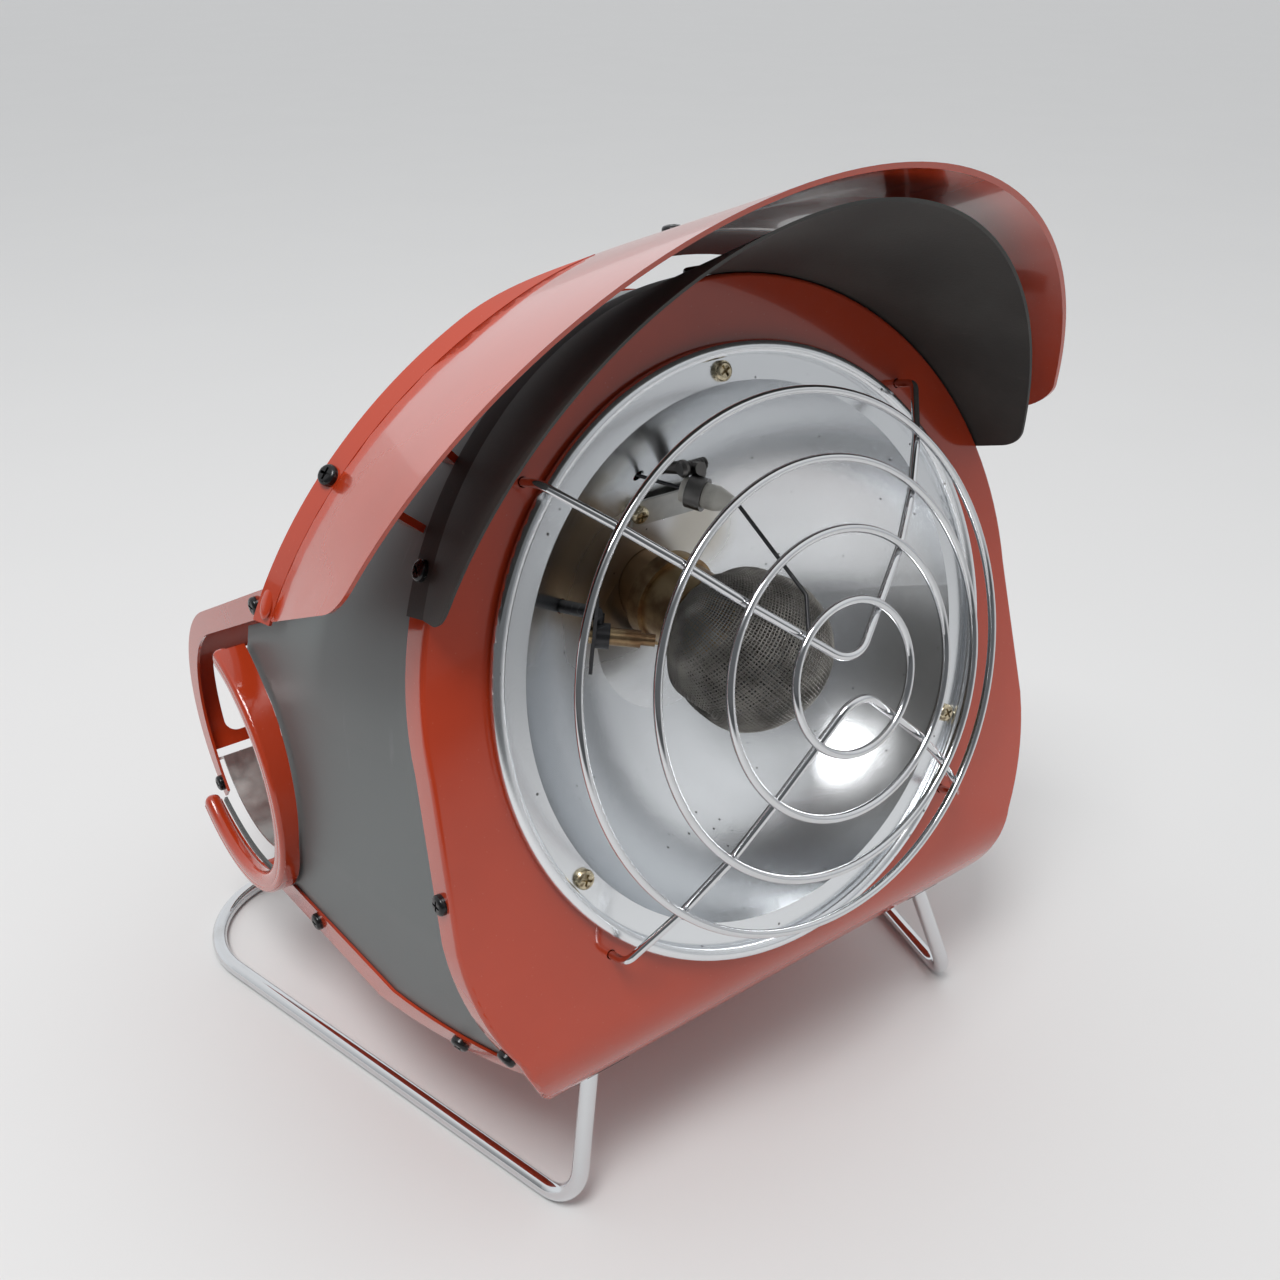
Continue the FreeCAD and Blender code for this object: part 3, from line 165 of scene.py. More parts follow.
class HeaterHoodEdge(bpy.types.PropertyGroup):
    """Hood and the turned-out strip along its back edge. Places along it are angles from its top."""

    tilt: bearing("Tilt", "How far the hood's axis tips from the panel's", 7.9)
    drop: length("Drop", "How far the hood's axis lies under the reflector's", 0.0213)
    radius: length("Radius", "Outer radius of the hood over the rim", 0.14556)
    flare: bearing("Flare", "How far the hood widens to the front", 12.2)
    back: length("Back", "Place of the back edge at the top, out of the panel", -0.0327)
    back_slope: ratio("Back slope", "How the back edge runs with height", 0.376)
    front: length("Front", "Place of the front edge at the top, out of the panel", 0.045)
    front_slope: ratio("Front slope", "How the front edge runs with height", 0.568)
    back_fall: length("Back fall", "How much lower the ends reach at the back", 0.017)
    front_lift: length("Front lift", "How much higher the ends stop at the front", 0.0065)
    bend_start: bearing("Slanted from", "Where the slant of the ends begins", 34.0)
    plate_start: bearing("Plates from", "Plates past this angle are the lower ones", 50.0)
    plate_lift: bearing("Plate lift", "How far the lower plates stand up under it", 11.0)
    lead: length("Lead", "How far ahead of the edge the strip starts", 0.005)
    rise: length("Rise", "How far the strip stands out", 0.0031)
    overhang: length("Overhang", "How far the strip's tip stands back of the edge", 0.001)
    sheet: length("Sheet", "Thickness of the strip", 0.001)
    start: bearing("Start", "Where the strip starts", 10.0)
    full: bearing("Full", "Where the strip is whole", 27.0)
    end: bearing("End", "Where the strip ends", 67.0)
    screw: bearing("Screw", "Where its screw is", 48.6)
    boss: bearing("Boss", "How far each boss lies from the strip's end", 2.5783)
    boss_size: point("Boss size", "Half its width, length and height", (0.0021, 0.0046, 0.0009), "XYZ")


class HeaterPanelRoll(bpy.types.PropertyGroup):
    """Soft roll along the front panel's lower edge."""

    face: length("Face", "Panel's face, out of the rim's plane", -0.0045)
    low: length("Low edge", "Panel's lower edge, up from the rim's middle", -0.103)
    depth: length("Depth", "How far above the edge the roll starts", 0.017)
    radius: length("Radius", "Radius of the roll", 0.026)
    stretch: ratio("Stretch", "Length of the roll over its depth", 1.76)
    sheet: length("Sheet", "Thickness of the panel", 0.001)
    chord: bearing("Chord", "Turn of the roll that the pieces behind are trimmed to", 50.0)
    steps: whole("Steps", "Facets of the roll", 12)


class HeaterBay(bpy.types.PropertyGroup):
    """Mouth and cover of the can's bay. Angles turn up from the back, round the can's axis."""

    axis_y: length("Axis Y", "Can's axis", 0.0686)
    axis_z: length("Axis Z", "Can's axis", 0.0927)
    lip_radius: length("Lip radius", "Middle of the mouth's lip", 0.0454)
    lip_width: length("Lip width", "Width of the lip's face", 0.0072)
    lip_depth: length("Lip depth", "Depth of the lip", 0.0056)
    lip_face: length("Lip face", "Outer face of the lip", -0.117)
    lip_start: bearing("Lip start", "Top end of the lip", 105.0)
    lip_end: bearing("Lip end", "Low end of the lip", 309.0)
    radius: length("Cover radius", "Outer radius of the cover", 0.050)
    slope: bearing("Slope", "Slope of the cover's top", 28.0)
    top: length("Top", "Where the cover's top meets the back panel", 0.02175)
    half: length("Half width", "Half the cover's width", 0.108)
    sheet: length("Sheet", "Thickness of the sheet", 0.001)
    flange: length("Flange", "Depth of the folded ends", 0.008)
    low: bearing("Low edge", "Low edge of the sheet", -28.5)
    tab_low: bearing("Tab", "Low end of the folds", -49.0)
    screw: bearing("Screw", "Screw on the fold", -43.5)
    window_low: bearing("Window low", "Low edge of the window", -23.0)
    window_high: bearing("Window high", "High edge of the window", 16.0)
    window_left: length("Window left", "Left edge of the window", -0.0995)
    window_right: length("Window right", "Right edge of the window", 0.030)
    window_corner: length("Window corner", "Radius of its corners", 0.005)


class HeaterStage(bpy.types.PropertyGroup):
    """Floor, light and camera."""

    floor_size: length("Floor", "Half the side of the floor", 30.0)
    floor_colour: tint("Floor colour", "Pale plain floor", (0.76, 0.755, 0.75))
    sky_high: tint("Light from above", "Colour of the light overhead", (0.86, 0.87, 0.88))
    sky_low: tint("Light from the sides", "Colour of the light near the horizon", (0.50, 0.51, 0.525))
    wall: tint("Light from behind", "Colour of the bright wall behind", (0.86, 0.88, 0.90))
    dim: tint("Light from the front left", "Colour of the dim side of the room", (0.13, 0.135, 0.14))
    dim_side: point("Dim side", "Towards the dim side of the room", (-0.75, -0.66, 0.0), "DIRECTION")
    lamp_place: point("Lamp", "Where the one lamp hangs", (-0.62, -0.42, 1.55))
    lamp_size: length("Lamp size", "Side of the soft lamp", 0.55)
    lamp_power: ratio("Lamp power", "Power of the lamp in watts", 14.0)
    camera_place: point("Camera", "Where the camera stands", (-0.2295, -0.3221, 0.3464))
    camera_azimuth: bearing("Azimuth", "Camera's turn from the front, below zero to the left", -36.75)
    camera_pitch: bearing("Pitch", "How far the camera looks down", 28.59)
    lens: ratio("Lens", "Focal length on a 36 mm sensor, in mm", 37.43)


# Shader maths as Python expressions

class Field:
    """One shader socket that takes part in expressions."""

    def __init__(self, look, socket):
        self.look = look
        self.socket = socket

    def maths(self, operation, first, second):
        return self.look.node("ShaderNodeMath", {"operation": operation}, {0: first, 1: second})

    def __add__(self, other):
        return self.maths("ADD", self, other)

    __radd__ = __add__

    def __sub__(self, other):
        return self.maths("SUBTRACT", self, other)

    def __rsub__(self, other):
        return self.maths("SUBTRACT", other, self)

    def __mul__(self, other):
        return self.maths("MULTIPLY", self, other)

    __rmul__ = __mul__

    def __pow__(self, other):
        return self.maths("POWER", self, other)

    def either(self, other):
        """The larger of two."""
        return self.maths("MAXIMUM", self, other)

    def step(self, low, high):
        """0 below low, 1 above high, smooth between."""
        return self.look.node(
            "ShaderNodeMapRange", {"interpolation_type": "SMOOTHSTEP"},
            {"Value": self, "From Min": low, "From Max": high},
        )


class Look:
    """One material's node tree."""

    def __init__(self, name):
        self.material = bpy.data.materials.new(name)
        self.material.use_nodes = True
        self.tree = self.material.node_tree
        self.shader = self.tree.nodes["Principled BSDF"]

    @classmethod
    def over(cls, tree):
        """Same maths over another kind of tree."""
        look = cls.__new__(cls)
        look.tree = tree
        return look

    def node(self, kind, settings=None, sockets=None, out=0):
        """Add a node: its settings first, then the values or links of its sockets."""
        made = self.tree.nodes.new(kind)
        for key, value in (settings or {}).items():
            setattr(made, key, value)
        for key, value in (sockets or {}).items():
            self.feed(made.inputs[key], value)
        return Field(self, made.outputs[out])

    def feed(self, socket, value):
        if isinstance(value, Field):
            self.tree.links.new(value.socket, socket)
        elif socket.type == "RGBA" and len(value) == 3:
            socket.default_value = (*value, 1.0)
        else:
            socket.default_value = value

    def set(self, **values):
        """Feed the surface's own sockets, with _ for a space."""
        for key, value in values.items():
            self.feed(self.shader.inputs[key.replace("_", " ")], value)

    def place(self):
        """Position on the object, in metres."""
        return self.node("ShaderNodeTexCoord", out="Object")

    def vectors(self, operation, first, second, out=0):
        return self.node("ShaderNodeVectorMath", {"operation": operation}, {0: first, 1: second}, out)

    def along(self, direction, vector):
        """How far a vector reaches along a direction."""
        return self.vectors("DOT_PRODUCT", vector, direction, "Value")

    def stretched(self, stretch):
        """Position scaled by a different amount along each axis."""
        return self.vectors("MULTIPLY", self.place(), stretch)

    def noise(self, scale, detail=3.0, rough=0.5, vector=None):
        sockets = {"Vector": vector or self.place(), "Scale": scale, "Detail": detail, "Roughness": rough}
        return self.node("ShaderNodeTexNoise", sockets=sockets)

    def streaks(self, stretch, detail, rough=0.6):
        """Noise drawn out along the axes with small stretch."""
        return self.noise(1.0, detail, rough, self.stretched(stretch))

    def spots(self, scale, size, seed=0.0):
        """Small round specks, 1 inside."""
        vector = self.vectors("ADD", self.place(), (seed, 0.0, 0.0))
        near = self.node("ShaderNodeTexVoronoi", sockets={"Vector": vector, "Scale": scale}, out="Distance")
        return 1.0 - near.step(size * 0.6, size)

    def mix(self, share, first, second):
        return self.node("ShaderNodeMix", {"data_type": "RGBA"}, {0: share, 6: first, 7: second}, 2)

    def bump(self, height, distance, strength):
        sockets = {"Height": height, "Distance": distance, "Strength": strength}
        return self.node("ShaderNodeBump", sockets=sockets)

    def grain(self, scale, detail, distance, strength):
        """Fine bumps all over."""
        return self.bump(self.noise(scale, detail), distance, strength)


def span(*sides):
    """Length of a vector from its sides."""
    squares = [side * side for side in sides]
    return sum(squares[1:], squares[0]) ** 0.5


def scaled(colour, factor):
    """Colour made darker or lighter."""
    return [channel * factor for channel in colour]


def axes_matrix(x, y, z):
    """Turns the world's axes to three directions."""
    return Matrix((x, y, z)).transposed().to_4x4()


def towards(direction):
    """Turns +Z to a direction."""
    return direction.to_track_quat("Z", "Y").to_matrix().to_4x4()


def panel_axes(layout):
    """Reflector frame: across, up the panel and out of it."""
    up = Vector((0.0, math.sin(layout.lean), math.cos(layout.lean)))
    out = Vector((0.0, -math.cos(layout.lean), math.sin(layout.lean)))
    return ACROSS, up, out


def panel_matrix(layout):
    """Carries reflector frame coordinates into the heater's frame."""
    return Matrix.Translation(layout.rim_centre) @ axes_matrix(*panel_axes(layout))


def panel_coordinates(look):
    """Reflector frame coordinates of a surface point: across, up the panel and out of it."""
    layout = bpy.context.scene.heater_layout
    shifted = look.vectors("SUBTRACT", look.place(), layout.rim_centre)
    return [look.along(direction, shifted) for direction in panel_axes(layout)]


# Finishes

def gloss_red(look, colours):
    """Gloss enamel: orange peel, faint specks of dust under it, uneven depth."""
    depth = look.noise(14.0, 4.0).step(0.3, 0.7)
    base = look.mix(depth, scaled(colours.enamel, 0.90), scaled(colours.enamel, 1.06))
    base = look.mix(look.spots(420.0, 0.10) * 0.10, base, (0.70, 0.35, 0.25))
    look.set(
        Base_Color=base, Roughness=0.10 + look.noise(60.0) * 0.08, Coat_Weight=0.5, Coat_Roughness=0.03,
        Normal=look.grain(330.0, 2.0, 0.00002, 0.5),
    )


def satin_grey(look, colours):
    """Satin enamel with fine texture and handling marks."""
    cloud = look.noise(18.0, 4.0)
    rubbed = look.streaks((60.0, 200.0, 30.0), 5.0).step(0.62, 0.80)
    base = look.mix(cloud, scaled(colours.casing, 0.86), scaled(colours.casing, 1.14))
    base = look.mix(rubbed * 0.18, base, (0.34, 0.35, 0.35))
    look.set(Base_Color=base, Roughness=0.36 + cloud * 0.14, Normal=look.grain(1400.0, 2.0, 0.00003, 0.5))


def visor_black(look, colours):
    """Matte heat-proof paint with a dusty bloom and rubbed patches."""
    bloom = look.noise(22.0, 5.0)
    rubs = look.streaks((120.0, 120.0, 700.0), 4.0).step(0.66, 0.80)
    base = look.mix(bloom.step(0.35, 0.75), colours.visor, scaled(colours.visor, 2.2))
    base = look.mix(rubs * 0.25, base, (0.12, 0.11, 0.10))
    look.set(Base_Color=base, Roughness=0.50 + bloom * 0.16, Normal=look.grain(1100.0, 3.0, 0.00005, 0.8))


def bowl_plating(look, colours):
    """Bright plated sheet: heat stain and a painted pale reflection round the burner, specks of soot and
    scale.
    """
    # Painted reflection: a soft pale patch up and right of the burner stands in for the bright room seen in
    # the bowl.
    reflection_across = 0.017
    reflection_up = 0.029
    across, up, _ = panel_coordinates(look)
    cloud = look.noise(30.0, 4.0)
    near = 1.0 - span(across, up).step(0.020, 0.056)
    heat = near * (1.0 - across.step(-0.016, 0.020)) * up.step(-0.012, 0.016) * (0.55 + cloud * 0.9)
    reflection_reach = span(across - reflection_across, up - reflection_up) + look.noise(70.0, 4.0) * 0.010
    painted_reflection = 1.0 - reflection_reach.step(0.010, 0.021)
    soot_and_shade = look.spots(165.0, 0.085) * look.noise(40.0).step(0.46, 0.60)
    scale = look.spots(95.0, 0.050, 0.37)
    base = look.mix(heat * 0.85, colours.plating, (0.25, 0.165, 0.085))
    # The painted reflection goes in as pale colour, and makes the patch less metallic and rougher.
    base = look.mix(painted_reflection * 0.9, base, (0.84, 0.80, 0.71))
    base = look.mix(soot_and_shade.either(scale) * 0.85, base, (0.035, 0.030, 0.026))
    look.set(
        Base_Color=base, Metallic=1.0 - painted_reflection * 0.35,
        Roughness=0.19 + cloud * 0.08 + heat * 0.16 + painted_reflection * 0.15,
        Normal=look.grain(1500.0, 2.0, 0.00002, 0.5),
    )


def chrome_wire(look, colours):
    """Polished chrome with a fine grain and a few dull patches."""
    dull = look.noise(70.0, 4.0).step(0.58, 0.78)
    base = look.mix(dull * 0.25, colours.chrome, (0.42, 0.40, 0.37))
    look.set(
        Base_Color=base, Metallic=1.0, Roughness=0.07 + dull * 0.16,
        Normal=look.grain(900.0, 2.0, 0.00001, 0.4),
    )


def heat_tinted_steel(look, colours):
    """Steel browned towards the flame, and grey up at the electrode."""
    _, up, out = panel_coordinates(look)
    burnt = (out + look.noise(90.0, 3.0) * 0.010).step(-0.066, -0.050)
    base = look.mix(burnt, colours.zinc, colours.tinted)
    base = look.mix(up.step(0.036, 0.042), base, (0.15, 0.145, 0.14))
    rings = look.streaks((30.0, 2500.0, 700.0), 2.0, 0.5)
    look.set(
        Base_Color=base, Metallic=1.0, Roughness=0.30 + rings * 0.14, Normal=look.bump(rings, 0.00002, 0.5)
    )


def turned_brass(look, colours):
    """Turned brass, stained by heat and handling."""
    stain = look.noise(120.0, 4.0)
    base = look.mix(stain.step(0.38, 0.66), colours.brass, (0.22, 0.13, 0.07))
    look.set(
        Base_Color=base, Metallic=1.0, Roughness=0.24 + stain * 0.20,
        Normal=look.grain(1800.0, 2.0, 0.00002, 0.5),
    )


def gauze_wire(look, colours):
    """Burnt steel wire, with painted shade darkening the inner layer."""
    middle = bpy.context.scene.heater_layout.gauze_centre
    radius = span(*[place - centre for place, centre in zip(panel_coordinates(look), middle)])
    # Painted shade: wires nearer the ball's middle than the outer layer, the inner layer, are made near
    # black.
    soot_and_shade = 1.0 - radius.step(0.0220, 0.0232)
    burn = look.noise(110.0, 4.0)
    base = look.mix(burn.step(0.35, 0.70), colours.gauze, scaled(colours.gauze, 2.1))
    base = look.mix(soot_and_shade * 0.9, base, (0.012, 0.011, 0.010))
    look.set(Base_Color=base, Metallic=0.85, Roughness=0.32 + burn * 0.16)


def dark_plate(look, colours):
    """Oiled dark steel with worn bright streaks."""
    streak = look.streaks((60.0, 600.0, 600.0), 4.0)
    base = look.mix(streak.step(0.55, 0.80), colours.plate, scaled(colours.plate, 2.6))
    look.set(
        Base_Color=base, Metallic=0.8, Roughness=0.28 + streak * 0.22,
        Normal=look.grain(900.0, 2.0, 0.00002, 0.5),
    )


def zinc_plate(look, colours):
    """Plated steel with a cloudy spangle."""
    spangle = look.noise(240.0, 4.0)
    base = look.mix(spangle, scaled(colours.zinc, 0.75), scaled(colours.zinc, 1.15))
    look.set(
        Base_Color=base, Metallic=1.0, Roughness=0.30 + spangle * 0.20,
        Normal=look.bump(spangle, 0.00002, 0.5),
    )


def ceramic_white(look, colours):
    """Glazed ceramic greyed by soot."""
    soot_and_shade = look.noise(160.0, 5.0).step(0.45, 0.75)
    base = look.mix(soot_and_shade * 0.6, colours.ceramic, (0.30, 0.28, 0.25))
    look.set(Base_Color=base, Roughness=0.30 + soot_and_shade * 0.25, Normal=look.grain(700.0, 2.0, 0.00003, 0.5))


def black_moulding(look, colours):
    """Moulded black plastic with spark-eroded grain."""
    worn = look.noise(60.0, 4.0)
    base = look.mix(worn.step(0.4, 0.8), colours.moulding, scaled(colours.moulding, 2.0))
    look.set(Base_Color=base, Roughness=0.38 + worn * 0.16, Normal=look.grain(1300.0, 3.0, 0.00005, 0.7))


def rubber_sleeve(look, colours):
    """Soft black sleeve and seal."""
    bloom = look.noise(150.0, 4.0)
    base = look.mix(bloom, colours.moulding, scaled(colours.moulding, 2.4))
    look.set(Base_Color=base, Roughness=0.62 + bloom * 0.2, Normal=look.grain(1500.0, 3.0, 0.00004, 0.6))


def copper_tube(look, colours):
    """Drawn copper with a brown film."""
    film = look.noise(90.0, 4.0)
    base = look.mix(film.step(0.4, 0.75), colours.copper, (0.20, 0.085, 0.045))
    look.set(
        Base_Color=base, Metallic=1.0, Roughness=0.24 + film * 0.22,
        Normal=look.grain(1200.0, 3.0, 0.00002, 0.4),
    )


def black_screw_finish(look, colours):
    """Blackened screw with bright wear."""
    wear = look.noise(700.0, 4.0).step(0.60, 0.78)
    base = look.mix(wear * 0.5, colours.black_screw, (0.30, 0.29, 0.27))
    look.set(Base_Color=base, Metallic=0.7, Roughness=0.22 + wear * 0.2)


def brassy_screw_finish(look, colours):
    """Passivated screw, yellowish and tarnished."""
    tarnish = look.noise(600.0, 4.0).step(0.42, 0.72)
    base = look.mix(tarnish, colours.brassy_screw, (0.20, 0.15, 0.09))
    look.set(Base_Color=base, Metallic=1.0, Roughness=0.24 + tarnish * 0.25)


FINISHES = {
    "red_enamel": gloss_red,
    "grey_enamel": satin_grey,
    "black_enamel": visor_black,
    "plated_bowl": bowl_plating,
    "chrome": chrome_wire,
    "tinted_steel": heat_tinted_steel,
    "brass": turned_brass,
    "gauze": gauze_wire,
    "dark_steel": dark_plate,
    "zinc": zinc_plate,
    "ceramic": ceramic_white,
    "black_plastic": black_moulding,
    "rubber": rubber_sleeve,
    "copper_pipe": copper_tube,
    "black_screw": black_screw_finish,
    "brassy_screw": brassy_screw_finish,
}


def finish(slot):
    """Finish of one of the record's slots, made when it is first asked for."""
    make = FINISHES[slot]
    if make.__name__ not in bpy.data.materials:
        make(Look(make.__name__), bpy.context.scene.heater_colours)
    return bpy.data.materials[make.__name__]


# Making pieces

def add_piece(name, mesh, slot, replaces=None):
    """Put a mesh or curve into the scene as a piece of the heater."""
    piece = bpy.data.objects.new(name, mesh)
    bpy.context.scene.collection.objects.link(piece)
    mesh.materials.append(finish(slot))
    if replaces:
        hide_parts(replaces)
    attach(piece, BODY)


def solid_copy(node):
    """Editable copy of one solid, its corners joined."""
    weld = 0.000002
    shell = bmesh.new()
    shell.from_mesh(frame["nodes"][node].data)
    bmesh.ops.remove_doubles(shell, verts=shell.verts, dist=weld)
    return shell


def smooth_by_angle(mesh):
    """Smooth shading with sharp edges kept."""
    sharp = math.radians(35.0)
    for face in mesh.polygons:
        face.use_smooth = True
    mesh.set_sharp_from_angle(angle=sharp)


def closed_mesh(name, shell):
    """Finished mesh of an edited shell."""
    bmesh.ops.recalc_face_normals(shell, faces=shell.faces)
    mesh = bpy.data.meshes.new(name)
    shell.to_mesh(mesh)
    shell.free()
    if "custom_normal" in mesh.attributes:
        mesh.attributes.remove(mesh.attributes["custom_normal"])
    smooth_by_angle(mesh)
    return mesh


def loft(shell, loops):
    """Add a skin over closed loops of points, capped at both ends."""
    rings = [[shell.verts.new(place) for place in loop] for loop in loops]
    for near, far in zip(rings, rings[1:]):
        for k in range(len(near)):
            after = (k + 1) % len(near)
            shell.faces.new((near[k], near[after], far[after], far[k]))
    shell.faces.new(rings[0][::-1])
    shell.faces.new(rings[-1])


def prism(shell, outline, low, high):
    """Add a prism along X over a closed (y, z) outline."""
    loft(shell, [[(x, y, z) for y, z in outline] for x in (low, high)])


def lathe(name, profile, sides=32):
    """Closed solid of revolution about Z from (radius, height) rings, lowest first."""
    turns = [math.tau * k / sides for k in range(sides)]
    shell = bmesh.new()
    loft(shell, [[(r * math.cos(a), r * math.sin(a), height) for a in turns] for r, height in profile])
    return closed_mesh(name, shell)


def carved(mesh, tool_mesh):
    """Mesh with a tool mesh cut out of it."""
    scene = bpy.context.scene
    blank = bpy.data.objects.new("blank", mesh)
    tool = bpy.data.objects.new("tool", tool_mesh)
    for item in (blank, tool):
        scene.collection.objects.link(item)
    cut = blank.modifiers.new("cut", "BOOLEAN")
    cut.object = tool
    cut.operation = "DIFFERENCE"
    cut.solver = "EXACT"
    cut.use_self = True
    result = bpy.data.meshes.new_from_object(blank.evaluated_get(bpy.context.evaluated_depsgraph_get()))
    for item in (blank, tool):
        bpy.data.objects.remove(item)
    return result


def screw_head(screws):
    """Pan head with a cross recess, seat at the origin and facing +Z."""
    steps = 8
    crown = 0.55
    profile = [(screws.head_radius, 0.0)]
    for k in range(steps + 1):
        angle = math.pi / 2 * k / steps
        profile.append((
            screws.head_radius * (crown + (1.0 - crown) * math.cos(angle)),
            screws.head_height * (1.0 - crown + crown * math.sin(angle)),
        ))
    cross = bmesh.new()
    size = Matrix.Diagonal((screws.recess_length, screws.recess_width, 2 * screws.recess_depth, 1.0))
    lift = Matrix.Translation((0.0, 0.0, screws.head_height))
    for turn in (0.0, math.pi / 2):
        bmesh.ops.create_cube(cross, size=1.0, matrix=Matrix.Rotation(turn, 4, "Z") @ lift @ size)
    return carved(lathe("screw_head", profile), closed_mesh("screw_cross", cross))


def add_screws(name, slot, places, replaces=None):
    """Add cross-headed screws at the given places as one piece."""
    head = screw_head(bpy.context.scene.heater_screws)
    joined = bmesh.new()
    for place in places:
        single = head.copy()
        single.transform(place)
        joined.from_mesh(single)
        bpy.data.meshes.remove(single)
    bpy.data.meshes.remove(head)
    add_piece(name, closed_mesh(name, joined), slot, replaces)


class HEATER_OT_finish_frame(bpy.types.Operator):
    """Give every solid its finish"""

    bl_idname = "heater.finish_frame"
    bl_label = "Finish the Solids"

    def execute(self, context):
        slots = {part["node"]: part["material_slot"] for part in frame["record"]["subparts"]}
        slots["canister_cradle"] = "zinc"
        for node, piece in frame["nodes"].items():
            piece.data.materials.clear()
            piece.data.materials.append(finish(slots[node]))
        return {"FINISHED"}


class HEATER_OT_panel_roll(bpy.types.Operator):
    """Roll the front panel's lower edge under"""

    bl_idname = "heater.panel_roll"
    bl_label = "Panel Roll"

    cut_width = 0.000001
    block_size = 0.4

    def execute(self, context):
        roll = context.scene.heater_panel_roll
        matrix = panel_matrix(context.scene.heater_layout)
        shell = solid_copy("front_panel")
        bmesh.ops.transform(shell, matrix=matrix.inverted(), verts=shell.verts)
        start = roll.low + roll.depth
        for k in range(roll.steps):
            bmesh.ops.bisect_plane(
                shell, geom=shell.verts[:] + shell.edges[:] + shell.faces[:], dist=self.cut_width,
                plane_co=(0.0, start - roll.depth * k / roll.steps, 0.0), plane_no=(0.0, 1.0, 0.0),
            )
        for vert in shell.verts:
            if vert.co.y < start:
                angle = (start - vert.co.y) * roll.stretch / roll.radius
                reach = roll.radius - (roll.face - vert.co.z)
                vert.co.y = start - reach * math.sin(angle)
                vert.co.z = roll.face - roll.radius + reach * math.cos(angle)
        bmesh.ops.transform(shell, matrix=matrix, verts=shell.verts)
        add_piece("rolled_panel", closed_mesh("rolled_panel", shell), "red_enamel", "front_panel")
        self.trim(roll, matrix, "side_casing", "grey_enamel")
        self.trim(roll, matrix, "bottom_panel", "red_enamel")
        return {"FINISHED"}

    def trim(self, roll, matrix, node, slot):
        """Cut a solid back to a chord of the roll's inside."""
        inside = roll.radius - roll.sheet
        high = Vector((0.0, roll.low + roll.depth, roll.face - roll.sheet))
        chord = Vector((0.0, -inside * math.sin(roll.chord), -inside * (1.0 - math.cos(roll.chord))))
        outward = chord.cross(ACROSS).normalized()
        place = matrix @ Matrix.Translation(high + outward * self.block_size / 2)
        block = bmesh.new()
        bmesh.ops.create_cube(block, size=self.block_size, matrix=place @ towards(outward))
        name = "trimmed_" + node
        mesh = carved(closed_mesh(name, solid_copy(node)), closed_mesh("trim_block", block))
        mesh.materials.clear()
        smooth_by_angle(mesh)
        add_piece(name, mesh, slot, node)


def soft(side):
    """Sine or cosine pushed out, for a round that is nearly a square."""
    roundness = 0.7
    return math.copysign(abs(side) ** roundness, side)


